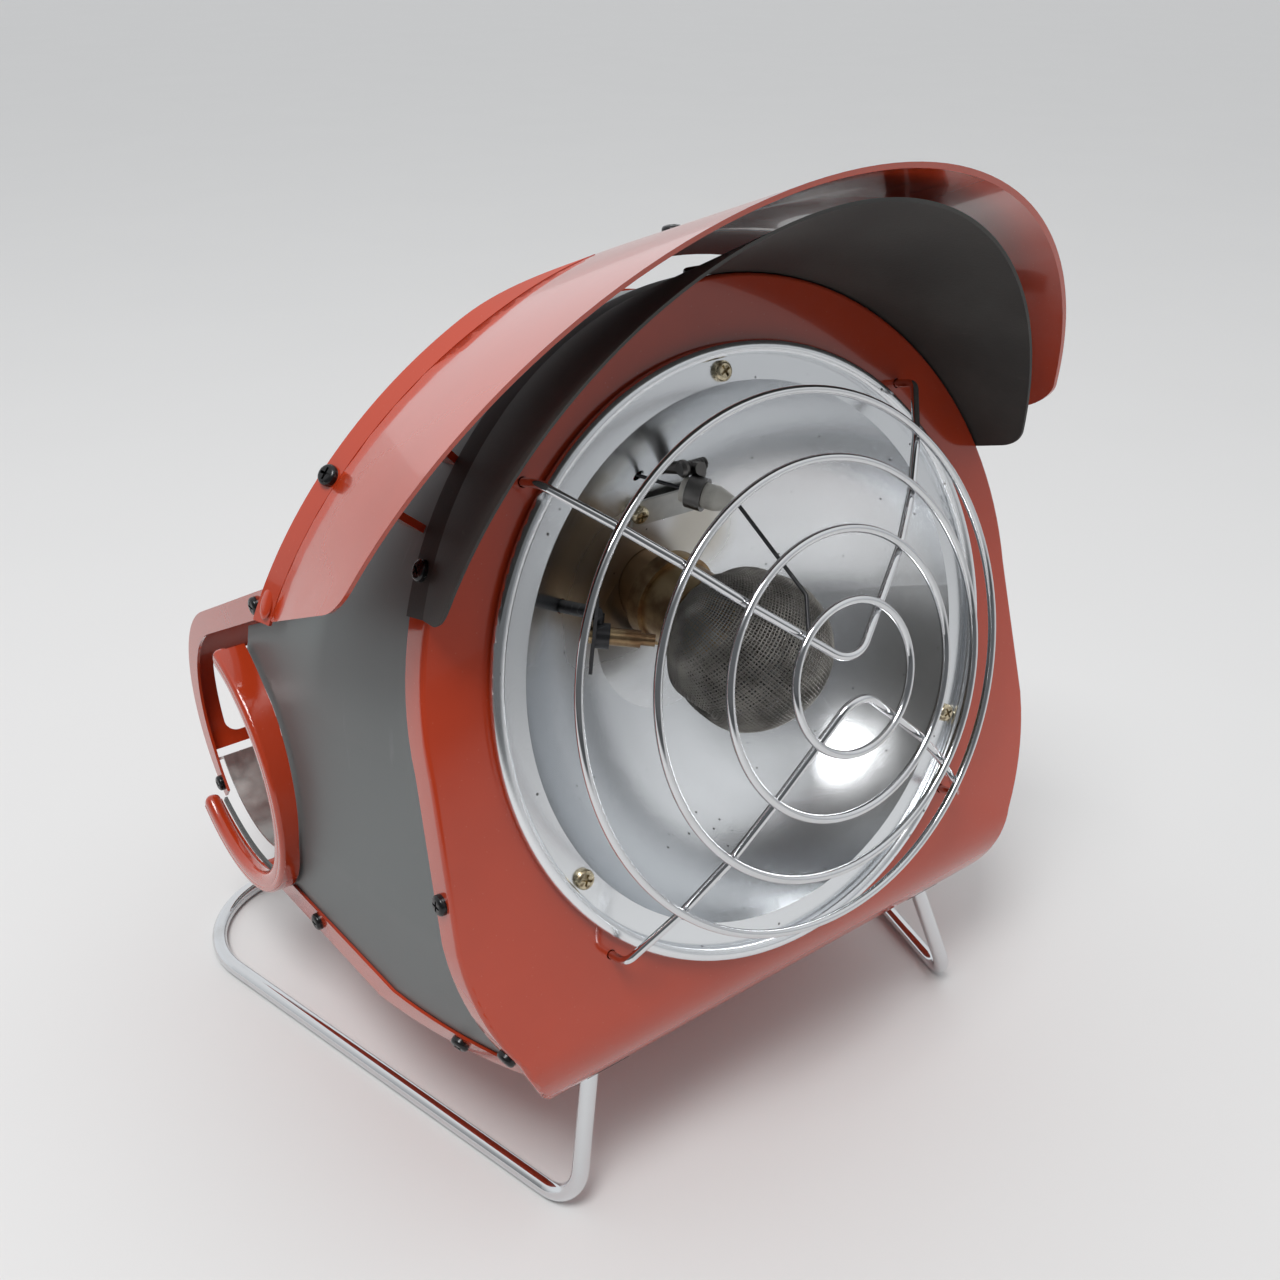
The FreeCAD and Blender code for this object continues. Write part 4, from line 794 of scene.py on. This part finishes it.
class HEATER_OT_can_bay(bpy.types.Operator):
    """Rounded lip of the bay's mouth, and the cover with its window"""

    bl_idname = "heater.can_bay"
    bl_label = "Can Bay"

    lip_steps = 72
    lip_sides = 20
    lip_tail = 0.35
    cap_angles = (0.4, 0.8, 1.15, 1.4)
    arc_steps = 40
    window_steps = 32
    window_reach = 0.006
    skin_share = 0.998
    fold_taper = 0.3
    screw_inset = 0.42

    def polar(self, bay, radius, angle):
        """(y, z) of a point round the can's axis."""
        return bay.axis_y + radius * math.cos(angle), bay.axis_z + radius * math.sin(angle)

    def lip_section(self, bay, angle, scale):
        """Loop round the lip at an angle."""
        middle = bay.lip_face + bay.lip_depth / 2
        loop = []
        for k in range(self.lip_sides):
            turn = math.tau * k / self.lip_sides
            out = soft(math.cos(turn)) * bay.lip_width / 2 * scale
            aside = soft(math.sin(turn)) * bay.lip_depth / 2 * scale
            loop.append((middle + aside, *self.polar(bay, bay.lip_radius + out, angle)))
        return loop

    def lip(self, bay):
        """C-shaped lip with a soft section and round ends."""
        stretch = bay.lip_end - bay.lip_start
        tail = bay.lip_width * self.lip_tail / bay.lip_radius
        caps = [(tail * math.sin(angle), math.cos(angle)) for angle in self.cap_angles]
        stations = [(bay.lip_start - past, scale) for past, scale in caps[::-1]]
        stations += [(bay.lip_start + stretch * k / self.lip_steps, 1.0) for k in range(self.lip_steps + 1)]
        stations += [(bay.lip_end + past, scale) for past, scale in caps]
        shell = bmesh.new()
        loft(shell, [self.lip_section(bay, angle, scale) for angle, scale in stations])
        return closed_mesh("bay_lip", shell)

    def outline(self, bay, outer, inner, low, taper=0.0):
        """Side view of a slab of the cover between two depths, thinner by a taper at its low end."""
        high = math.pi / 2 - bay.slope
        rows = []
        for depth, thinning in ((outer, 0.0), (inner, taper)):
            y, z = self.polar(bay, bay.radius - depth, high)
            row = [(bay.top, z + (y - bay.top) * math.tan(bay.slope))]
            for k in range(self.arc_steps + 1):
                angle = high + (low - high) * k / self.arc_steps
                radius = bay.radius - depth
                if thinning and angle < bay.low:
                    radius += thinning * (bay.low - angle) / (bay.low - low)
                row.append(self.polar(bay, radius, angle))
            rows.append(row)
        return rows[0] + rows[1][::-1]

    def window(self, bay):
        """Round-cornered block through the sheet."""
        corner = bay.window_corner
        curl = corner / bay.radius
        middle = (bay.window_left + bay.window_right) / 2
        half = (bay.window_right - bay.window_left) / 2 - corner
        centre = (bay.window_low + bay.window_high) / 2
        tall = (bay.window_high - bay.window_low) / 2 - curl
        rim = []
        for k in range(self.window_steps):
            turn = math.tau * (k + 0.5) / self.window_steps
            x = middle + math.copysign(half, math.cos(turn)) + corner * math.cos(turn)
            rim.append((x, centre + math.copysign(tall, math.sin(turn)) + curl * math.sin(turn)))
        shell = bmesh.new()
        radii = (bay.radius - self.window_reach, bay.radius + self.window_reach)
        loft(shell, [[(x, *self.polar(bay, radius, angle)) for x, angle in rim] for radius in radii])
        return closed_mesh("window_block", shell)

    def cover(self, bay):
        """Curved sheet with a window, its folded ends and the tab on the back panel."""
        sheet = bmesh.new()
        half = bay.half * self.skin_share
        prism(sheet, self.outline(bay, 0.0, bay.sheet, bay.low), -half, half)
        skin = carved(closed_mesh("cover_sheet", sheet), self.window(bay))
        shell = bmesh.new()
        shell.from_mesh(skin)
        bmesh.ops.dissolve_verts(shell, verts=[v for v in shell.verts if len(v.link_edges) == 2])
        inset = bay.sheet / 5
        fold = self.outline(bay, inset, bay.flange, bay.tab_low, bay.flange * self.fold_taper)
        prism(shell, fold, -bay.half, -bay.half + bay.sheet)
        prism(shell, fold, bay.half - bay.sheet, bay.half)
        y, z = fold[0]
        low = z - bay.flange
        high = z + bay.flange
        tab = [(y, low), (y + bay.sheet, low), (y + bay.sheet, high), (y, high)]
        prism(shell, tab, -bay.half / 2, bay.half / 2)
        return closed_mesh("cover", shell)

    def execute(self, context):
        bay = context.scene.heater_bay
        add_piece("bay_lip", self.lip(bay), "red_enamel")
        add_piece("windowed_cover", self.cover(bay), "red_enamel", "canister_cover")
        y, z = self.polar(bay, bay.radius - bay.flange * self.screw_inset, bay.screw)
        place = Matrix.Translation((-bay.half, y, z)) @ towards(-ACROSS)
        add_screws("cover_low_screw", "black_screw", [place])
        return {"FINISHED"}


class HEATER_OT_gauze(bpy.types.Operator):
    """Weave the two gauze layers over the burner"""

    bl_idname = "heater.gauze"
    bl_label = "Burner Gauze"

    gather_start = 1.25
    fold_sway = 1.3
    sway_waves = 3.0
    slack_turn = 0.9
    bulge_share = 0.6
    bulge_waves = 2.6
    dent_angle = 1.55
    dent_turn = -2.5
    dent_height = 0.30
    dent_width = 0.22
    weave_lift = 0.8
    waist_band = 0.0002

    def gathered(self, gauze, a, b, ball, waist_angle):
        """Place on the slack ball of a point (a, b) of the flat gauze, gathered at the waist."""
        angle = math.hypot(a, b) / ball
        turn = math.atan2(b, a)
        gather = max(0.0, (angle - self.gather_start) / (waist_angle - self.gather_start))
        ripple = gauze.fold_depth * gather * (1.0 - gather) * 4.0
        sway = self.fold_sway * math.sin(self.sway_waves * turn)
        radius = ball - ripple * (0.5 + 0.5 * math.sin(gauze.folds * turn + sway))
        slack = math.sin(angle) ** 2 * math.sin(2.0 * turn + self.slack_turn)
        slack += self.bulge_share * math.sin(self.bulge_waves * angle + turn) * math.sin(angle)
        down = (angle - self.dent_angle) / self.dent_height
        aside = math.remainder(turn - self.dent_turn, math.tau) / self.dent_width
        radius += gauze.slack * (slack - 1.0) - gauze.dent * math.exp(-down ** 2 - aside ** 2)
        flat = radius * math.sin(angle)
        return Vector((flat * math.cos(turn), flat * math.sin(turn), radius * math.cos(angle)))

    def weave(self, name, gauze, matrix, ball, waist, pitch, wire):
        """Two crossing sets of wires laid over a ball and gathered at its waist."""
        waist_angle = math.pi - math.asin(waist / ball)
        reach = waist_angle * ball
        count = int(reach / pitch)
        curve = bpy.data.curves.new(name, "CURVE")
        curve.dimensions = "3D"
        curve.bevel_depth = wire
        curve.bevel_resolution = 0
        curve.use_fill_caps = True
        diagonal = math.sqrt(0.5)
        for line in range(-count, count + 1):
            fixed = line * pitch
            half = int(math.sqrt(max(reach ** 2 - fixed ** 2, 0.0)) / pitch)
            if half < 2:
                continue
            for sign in (1, -1):
                spline = curve.splines.new("POLY")
                spline.points.add(2 * half)
                for index, along in enumerate(range(-half, half + 1)):
                    run = along * pitch
                    a = (fixed + sign * run) * diagonal
                    b = (run - sign * fixed) * diagonal
                    over = sign if (line + along) % 2 == 0 else -sign
                    place = self.gathered(gauze, a, b, ball + wire * self.weave_lift * over, waist_angle)
                    spline.points[index].co = (*(matrix @ place), 1.0)
        return curve

    def execute(self, context):
        gauze = context.scene.heater_gauze
        layout = context.scene.heater_layout
        tilt = Matrix.Rotation(layout.burner_tilt, 4, "X")
        matrix = panel_matrix(layout) @ Matrix.Translation(layout.gauze_centre) @ tilt
        inverse = matrix.inverted()
        layers = {
            "gauze_outer": (gauze.pitch, gauze.wire),
            "gauze_inner": (gauze.inner_pitch, gauze.wire * gauze.inner_wire),
        }
        for node, (pitch, wire) in layers.items():
            places = [inverse @ v.co for v in frame["nodes"][node].data.vertices]
            low = min(p.z for p in places)
            waist = max(math.hypot(p.x, p.y) for p in places if p.z < low + self.waist_band)
            inset = wire * 2.0
            ball = max(p.length for p in places) - inset
            name = "woven_" + node
            curve = self.weave(name, gauze, matrix, ball, waist - inset, pitch, wire)
            add_piece(name, curve, "gauze", node)
        return {"FINISHED"}


class HEATER_OT_screws(bpy.types.Operator):
    """Put cross-headed screws where the solids have theirs"""

    bl_idname = "heater.screws"
    bl_label = "Screws"

    groups = {
        "panel_screws": "black_screw", "bottom_screws": "black_screw", "back_screws": "black_screw",
        "visor_screws": "black_screw", "cover_screws": "black_screw", "reflector_screws": "brassy_screw",
    }
    screw_reach = 0.011
    seat_band = 0.0002
    spin_each = 0.7
    spin_group = 0.4

    def seats(self, node):
        """Seats and outward directions of the screws in a node, read from the flat faces of its solids."""
        mesh = frame["nodes"][node].data
        screws = []
        for face in mesh.polygons:
            for first, faces in screws:
                if (face.center - first).length < self.screw_reach:
                    break
            else:
                faces = {}
                screws.append((face.center.copy(), faces))
            key = tuple(round(c, 2) + 0.0 for c in face.normal)
            faces.setdefault(key, []).append(face)
        for _, faces in screws:
            under = max(faces.values(), key=lambda same: sum(f.area for f in same))
            inward = under[0].normal.copy()
            ring = [mesh.vertices[i].co for f in under for i in f.vertices]
            depth = min(p.dot(inward) for p in ring)
            seat = [p for p in ring if p.dot(inward) < depth + self.seat_band]
            low = Vector([min(p[k] for p in seat) for k in range(3)])
            high = Vector([max(p[k] for p in seat) for k in range(3)])
            yield (low + high) / 2, -inward

    def execute(self, context):
        for number, (node, slot) in enumerate(self.groups.items()):
            places = []
            for index, (seat, outward) in enumerate(self.seats(node)):
                spin = Matrix.Rotation(self.spin_each * index + self.spin_group * number, 4, "Z")
                places.append(Matrix.Translation(seat) @ towards(outward) @ spin)
            add_screws(node + "_heads", slot, places, node)
        return {"FINISHED"}


class HEATER_OT_electrode_screw(bpy.types.Operator):
    """Clamp screw and base plate of the electrode's bracket"""

    bl_idname = "heater.electrode_screw"
    bl_label = "Electrode Screw"

    plate_round = 0.3
    plate_screw = -0.42
    head_top = 0.7
    thread_start = 0.5
    thread_crest = (0.4, 0.6)

    def execute(self, context):
        screw = context.scene.heater_electrode
        matrix = panel_matrix(context.scene.heater_layout)
        mesh = lathe("electrode_screw", self.profile(screw))
        mesh.transform(matrix @ Matrix.Translation(screw.place) @ towards(ACROSS))
        add_piece("electrode_screw", mesh, "tinted_steel")
        self.add_plate(screw, matrix)
        return {"FINISHED"}

    def profile(self, screw):
        """(radius, height) rings of the head and the turns of the thread."""
        head = screw.head_radius
        core = screw.thread_radius - screw.thread_depth
        tall = screw.head_height
        rings = [(head * self.head_top, -tall), (head, -tall / 2), (head, 0.0), (core, 0.0)]
        for turn in range(screw.threads):
            start = turn + self.thread_start
            rings.append((core, screw.pitch * start))
            rings += [(screw.thread_radius, screw.pitch * (start + part)) for part in self.thread_crest]
        rings.append((core, screw.pitch * (screw.threads + self.thread_start)))
        return rings

    def add_plate(self, screw, matrix):
        """Base plate on the bowl with one screw."""
        facing = Vector(screw.plate_facing).normalized()
        aside = Vector((0.0, 1.0, 0.0)).cross(facing).normalized()
        turn = axes_matrix(aside, facing.cross(aside), facing)
        place = matrix @ Matrix.Translation(screw.plate_place) @ turn
        size = Matrix.Diagonal((screw.plate_length, screw.plate_width, screw.plate_sheet, 1.0))
        shell = bmesh.new()
        bmesh.ops.create_cube(shell, size=1.0, matrix=place @ size)
        edge = screw.plate_sheet * self.plate_round
        bmesh.ops.bevel(shell, geom=shell.edges[:], offset=edge, segments=2, affect="EDGES")
        add_piece("electrode_plate", closed_mesh("electrode_plate", shell), "zinc")
        seat = Vector((screw.plate_length * self.plate_screw, 0.0, screw.plate_sheet / 2))
        add_screws("electrode_plate_screw", "brassy_screw", [place @ Matrix.Translation(seat)])


def clamped(part):
    """Number kept between 0 and 1."""
    return min(max(part, 0.0), 1.0)


class HoodEdge:
    """Places on the hood and its back edge, in the hood's own frame."""

    def __init__(self, edge, layout):
        self.edge = edge
        self.widen = math.tan(edge.flare)
        tip = Matrix.Rotation(edge.tilt, 4, "X")
        self.matrix = panel_matrix(layout) @ tip @ Matrix.Translation((0.0, -edge.drop, 0.0))

    def share(self, angle):
        """How much of the strip stands at an angle from the top, smooth from 0 to 1."""
        part = clamped((abs(angle) - self.edge.start) / (self.edge.full - self.edge.start))
        return part * part * (3.0 - 2.0 * part)

    def axes(self, angle):
        """Outward and forward directions."""
        return Vector((math.sin(angle), math.cos(angle), 0.0)), Vector((0.0, 0.0, 1.0))

    def trim(self, angle, place, slope):
        """How far out of the panel a slanted edge of the hood lies at an angle."""
        lean = math.cos(angle) * slope
        top = self.edge.radius + place * self.widen
        return (place + self.edge.radius * lean - top * slope) / (1.0 - self.widen * lean)

    def back(self, angle):
        return self.trim(angle, self.edge.back, self.edge.back_slope)

    def front(self, angle):
        return self.trim(angle, self.edge.front, self.edge.front_slope)

    def surface(self, angle, ahead=0.0):
        """Point on the hood's outer face, some way ahead of its back edge."""
        out = self.back(angle) + ahead
        outward, forward = self.axes(angle)
        return outward * (self.edge.radius + out * self.widen) + forward * out

    def slanted(self, point):
        """Where a point of the hood goes when its ends slant down to the back."""
        edge = self.edge
        angle = math.atan2(point.x, point.y)
        radius = math.hypot(point.x, point.y)
        proud = radius - edge.radius - point.z * self.widen
        share = (point.z - self.back(angle)) / (self.front(angle) - self.back(angle))
        part = clamped((abs(angle) - edge.bend_start) / (edge.end - edge.bend_start))
        ahead = clamped(share)
        move = (edge.back_fall * (1.0 - ahead) - edge.front_lift * ahead) * part * (2.0 - part)
        angle += move / radius * math.copysign(1.0, angle)
        out = self.back(angle) + share * (self.front(angle) - self.back(angle))
        outward, forward = self.axes(angle)
        return outward * (edge.radius + out * self.widen + proud) + forward * out

    def lifted(self, point):
        """Where a point of a low plate goes when the plate stands higher under the hood."""
        angle = math.atan2(point.x, point.y)
        if abs(angle) < self.edge.plate_start:
            return point
        higher = angle - math.copysign(self.edge.plate_lift, angle)
        outward, forward = self.axes(higher)
        out = point.z + self.back(higher) - self.back(angle)
        radius = math.hypot(point.x, point.y) + (out - point.z) * self.widen
        return outward * radius + forward * out

    def strip(self, angle):
        """Foot, tip and facing direction of the strip."""
        share = self.share(angle)
        outward, forward = self.axes(angle)
        foot = self.surface(angle, self.edge.lead * share)
        tip = self.surface(angle) + (outward * self.edge.rise - forward * self.edge.overhang) * share
        across = Vector((math.cos(angle), -math.sin(angle), 0.0))
        facing = across.cross(tip - foot)
        if facing.z < 0.0:
            facing = -facing
        return foot, tip, facing.normalized()


class HEATER_OT_hood_edge(bpy.types.Operator):
    """Hood with slanted ends, and the strip along its back edge with embossed ends and screws"""

    bl_idname = "heater.hood_edge"
    bl_label = "Hood Edge"

    steps = 48

    def add_side(self, shell, hood, side):
        """One half of the strip as a closed bar."""
        edge = hood.edge
        loops = []
        for k in range(self.steps + 1):
            angle = side * (edge.start + (edge.end - edge.start) * (k + 0.5) / (self.steps + 0.5))
            foot, tip, facing = hood.strip(angle)
            under = facing * edge.sheet
            loops.append([hood.matrix @ place for place in (foot, tip, tip - under, foot - under)])
        loft(shell, loops)

    def add_boss(self, shell, hood, side):
        """Oval pressed up near the strip's end."""
        foot, tip, facing = hood.strip(side * (hood.edge.end - hood.edge.boss))
        along = (tip - foot).normalized()
        turn = axes_matrix(along, facing.cross(along), facing)
        size = Matrix.Diagonal((*hood.edge.boss_size, 1.0))
        place = hood.matrix @ Matrix.Translation((foot + tip) / 2) @ turn @ size
        bmesh.ops.create_uvsphere(shell, u_segments=24, v_segments=12, radius=1.0, matrix=place)

    def reshape(self, hood, node, move, name):
        """Put a moved copy in a solid's place."""
        shell = solid_copy(node)
        inverse = hood.matrix.inverted()
        for vert in shell.verts:
            vert.co = hood.matrix @ move(inverse @ vert.co)
        add_piece(name, closed_mesh(name, shell), "red_enamel", node)

    def screw_places(self, hood):
        """One screw on each side of the strip, and one at the top on the hood's own face."""
        for angle in (-hood.edge.screw, 0.0, hood.edge.screw):
            foot, tip, facing = hood.strip(angle)
            if angle == 0.0:
                facing = hood.axes(angle)[0]
            yield hood.matrix @ Matrix.Translation((foot + tip) / 2) @ towards(facing)

    def execute(self, context):
        hood = HoodEdge(context.scene.heater_hood_edge, context.scene.heater_layout)
        self.reshape(hood, "hood", hood.slanted, "slanted_hood")
        self.reshape(hood, "hood_brackets", hood.lifted, "lifted_plates")
        shell = bmesh.new()
        for side in (-1, 1):
            self.add_side(shell, hood, side)
            self.add_boss(shell, hood, side)
        add_piece("hood_edge", closed_mesh("hood_edge", shell), "red_enamel")
        add_screws("hood_edge_screws", "black_screw", self.screw_places(hood))
        return {"FINISHED"}


# Studio

def add_lamp(scene, stage):
    """One soft square lamp overhead."""
    light = bpy.data.lights.new("lamp", "AREA")
    light.energy = stage.lamp_power
    light.size = stage.lamp_size
    lamp = bpy.data.objects.new("lamp", light)
    lamp.location = stage.lamp_place
    lamp.rotation_euler = Vector(stage.lamp_place).to_track_quat("Z", "Y").to_euler()
    scene.collection.objects.link(lamp)


def add_camera(scene, stage):
    """Camera of the photograph."""
    data = bpy.data.cameras.new("camera")
    data.lens = stage.lens
    data.sensor_width = 36.0
    data.clip_start = 0.01
    camera = bpy.data.objects.new("camera", data)
    back = Vector((
        math.sin(stage.camera_azimuth) * math.cos(stage.camera_pitch),
        -math.cos(stage.camera_azimuth) * math.cos(stage.camera_pitch),
        math.sin(stage.camera_pitch),
    ))
    camera.location = stage.camera_place
    camera.rotation_euler = (-back).to_track_quat("-Z", "Y").to_euler()
    scene.collection.objects.link(camera)
    scene.camera = camera


def pale_floor(stage):
    """Plain pale floor with a hint of texture, with painted shade far out on the dim side of the room."""
    look = Look("pale_floor")
    cloud = look.noise(6.0, 3.0)
    # Painted shade: the floor colour turns dark far out towards the dim side of the room.
    far = look.along(stage.dim_side, look.place()).step(0.55, 1.2)
    base = look.mix(cloud, scaled(stage.floor_colour, 0.97), stage.floor_colour)
    base = look.mix(far, base, scaled(stage.dim, 0.6))
    look.set(Base_Color=base, Roughness=0.55)
    return look.material


def add_floor(scene, stage):
    """Wide flat floor."""
    half = stage.floor_size
    corners = [(-half, -half, 0), (half, -half, 0), (half, half, 0), (-half, half, 0)]
    mesh = bpy.data.meshes.new("floor")
    mesh.from_pydata(corners, [], [(0, 1, 2, 3)])
    mesh.materials.append(pale_floor(stage))
    floor = bpy.data.objects.new("floor", mesh)
    scene.collection.objects.link(floor)


def light_room(scene, stage):
    """Even room light, brighter overhead and from a wall behind, dim on the front left."""
    world = bpy.data.worlds.new("soft_room")
    world.use_nodes = True
    look = Look.over(world.node_tree)
    direction = look.node("ShaderNodeTexCoord", out="Generated")
    rise = look.along((0.0, 0.0, 1.0), direction)
    behind = look.along((0.0, 1.0, 0.0), direction).step(0.10, 0.70) * (1.0 - rise.step(0.40, 0.80))
    dim = look.along(stage.dim_side, direction).step(0.0, 0.65) * (1.0 - rise.step(0.62, 0.93))
    sky = look.mix(rise.step(-0.10, 0.80), stage.sky_low, stage.sky_high)
    sky = look.mix(dim, sky, stage.dim)
    look.feed(world.node_tree.nodes["Background"].inputs["Color"], look.mix(behind, sky, stage.wall))
    scene.world = world


class HEATER_OT_stage(bpy.types.Operator):
    """Set the floor, the light and the camera"""

    bl_idname = "heater.stage"
    bl_label = "Studio"

    def execute(self, context):
        scene = context.scene
        scene.view_settings.view_transform = "Standard"
        for add in (add_floor, light_room, add_lamp, add_camera):
            add(scene, scene.heater_stage)
        return {"FINISHED"}


class HEATER_PT_panel(bpy.types.Panel):
    """Shows a button for each of the heater's steps"""

    bl_label = "Cassette Gas Heater"
    bl_idname = "HEATER_PT_panel"
    bl_space_type = "VIEW_3D"
    bl_region_type = "UI"
    bl_category = "Heater"

    def draw(self, context):
        for operator in OPERATORS:
            self.layout.operator(operator.bl_idname)


GROUPS = {
    "heater_layout": HeaterLayout,
    "heater_colours": HeaterColours,
    "heater_gauze": HeaterGauze,
    "heater_screws": HeaterScrews,
    "heater_electrode": HeaterElectrode,
    "heater_hood_edge": HeaterHoodEdge,
    "heater_panel_roll": HeaterPanelRoll,
    "heater_bay": HeaterBay,
    "heater_stage": HeaterStage,
}
OPERATORS = (
    HEATER_OT_stage,
    HEATER_OT_finish_frame,
    HEATER_OT_panel_roll,
    HEATER_OT_can_bay,
    HEATER_OT_gauze,
    HEATER_OT_screws,
    HEATER_OT_electrode_screw,
    HEATER_OT_hood_edge,
)


def register():
    for item in (*GROUPS.values(), *OPERATORS, HEATER_PT_panel):
        bpy.utils.register_class(item)
    for name, group in GROUPS.items():
        setattr(bpy.types.Scene, name, PointerProperty(type=group))


def unregister():
    for name in GROUPS:
        delattr(bpy.types.Scene, name)
    for item in (HEATER_PT_panel, *OPERATORS[::-1], *list(GROUPS.values())[::-1]):
        bpy.utils.unregister_class(item)


def main():
    register()
    for operator in OPERATORS:
        family, name = operator.bl_idname.split(".")
        getattr(getattr(bpy.ops, family), name)()


if __name__ == "__main__":
    main()
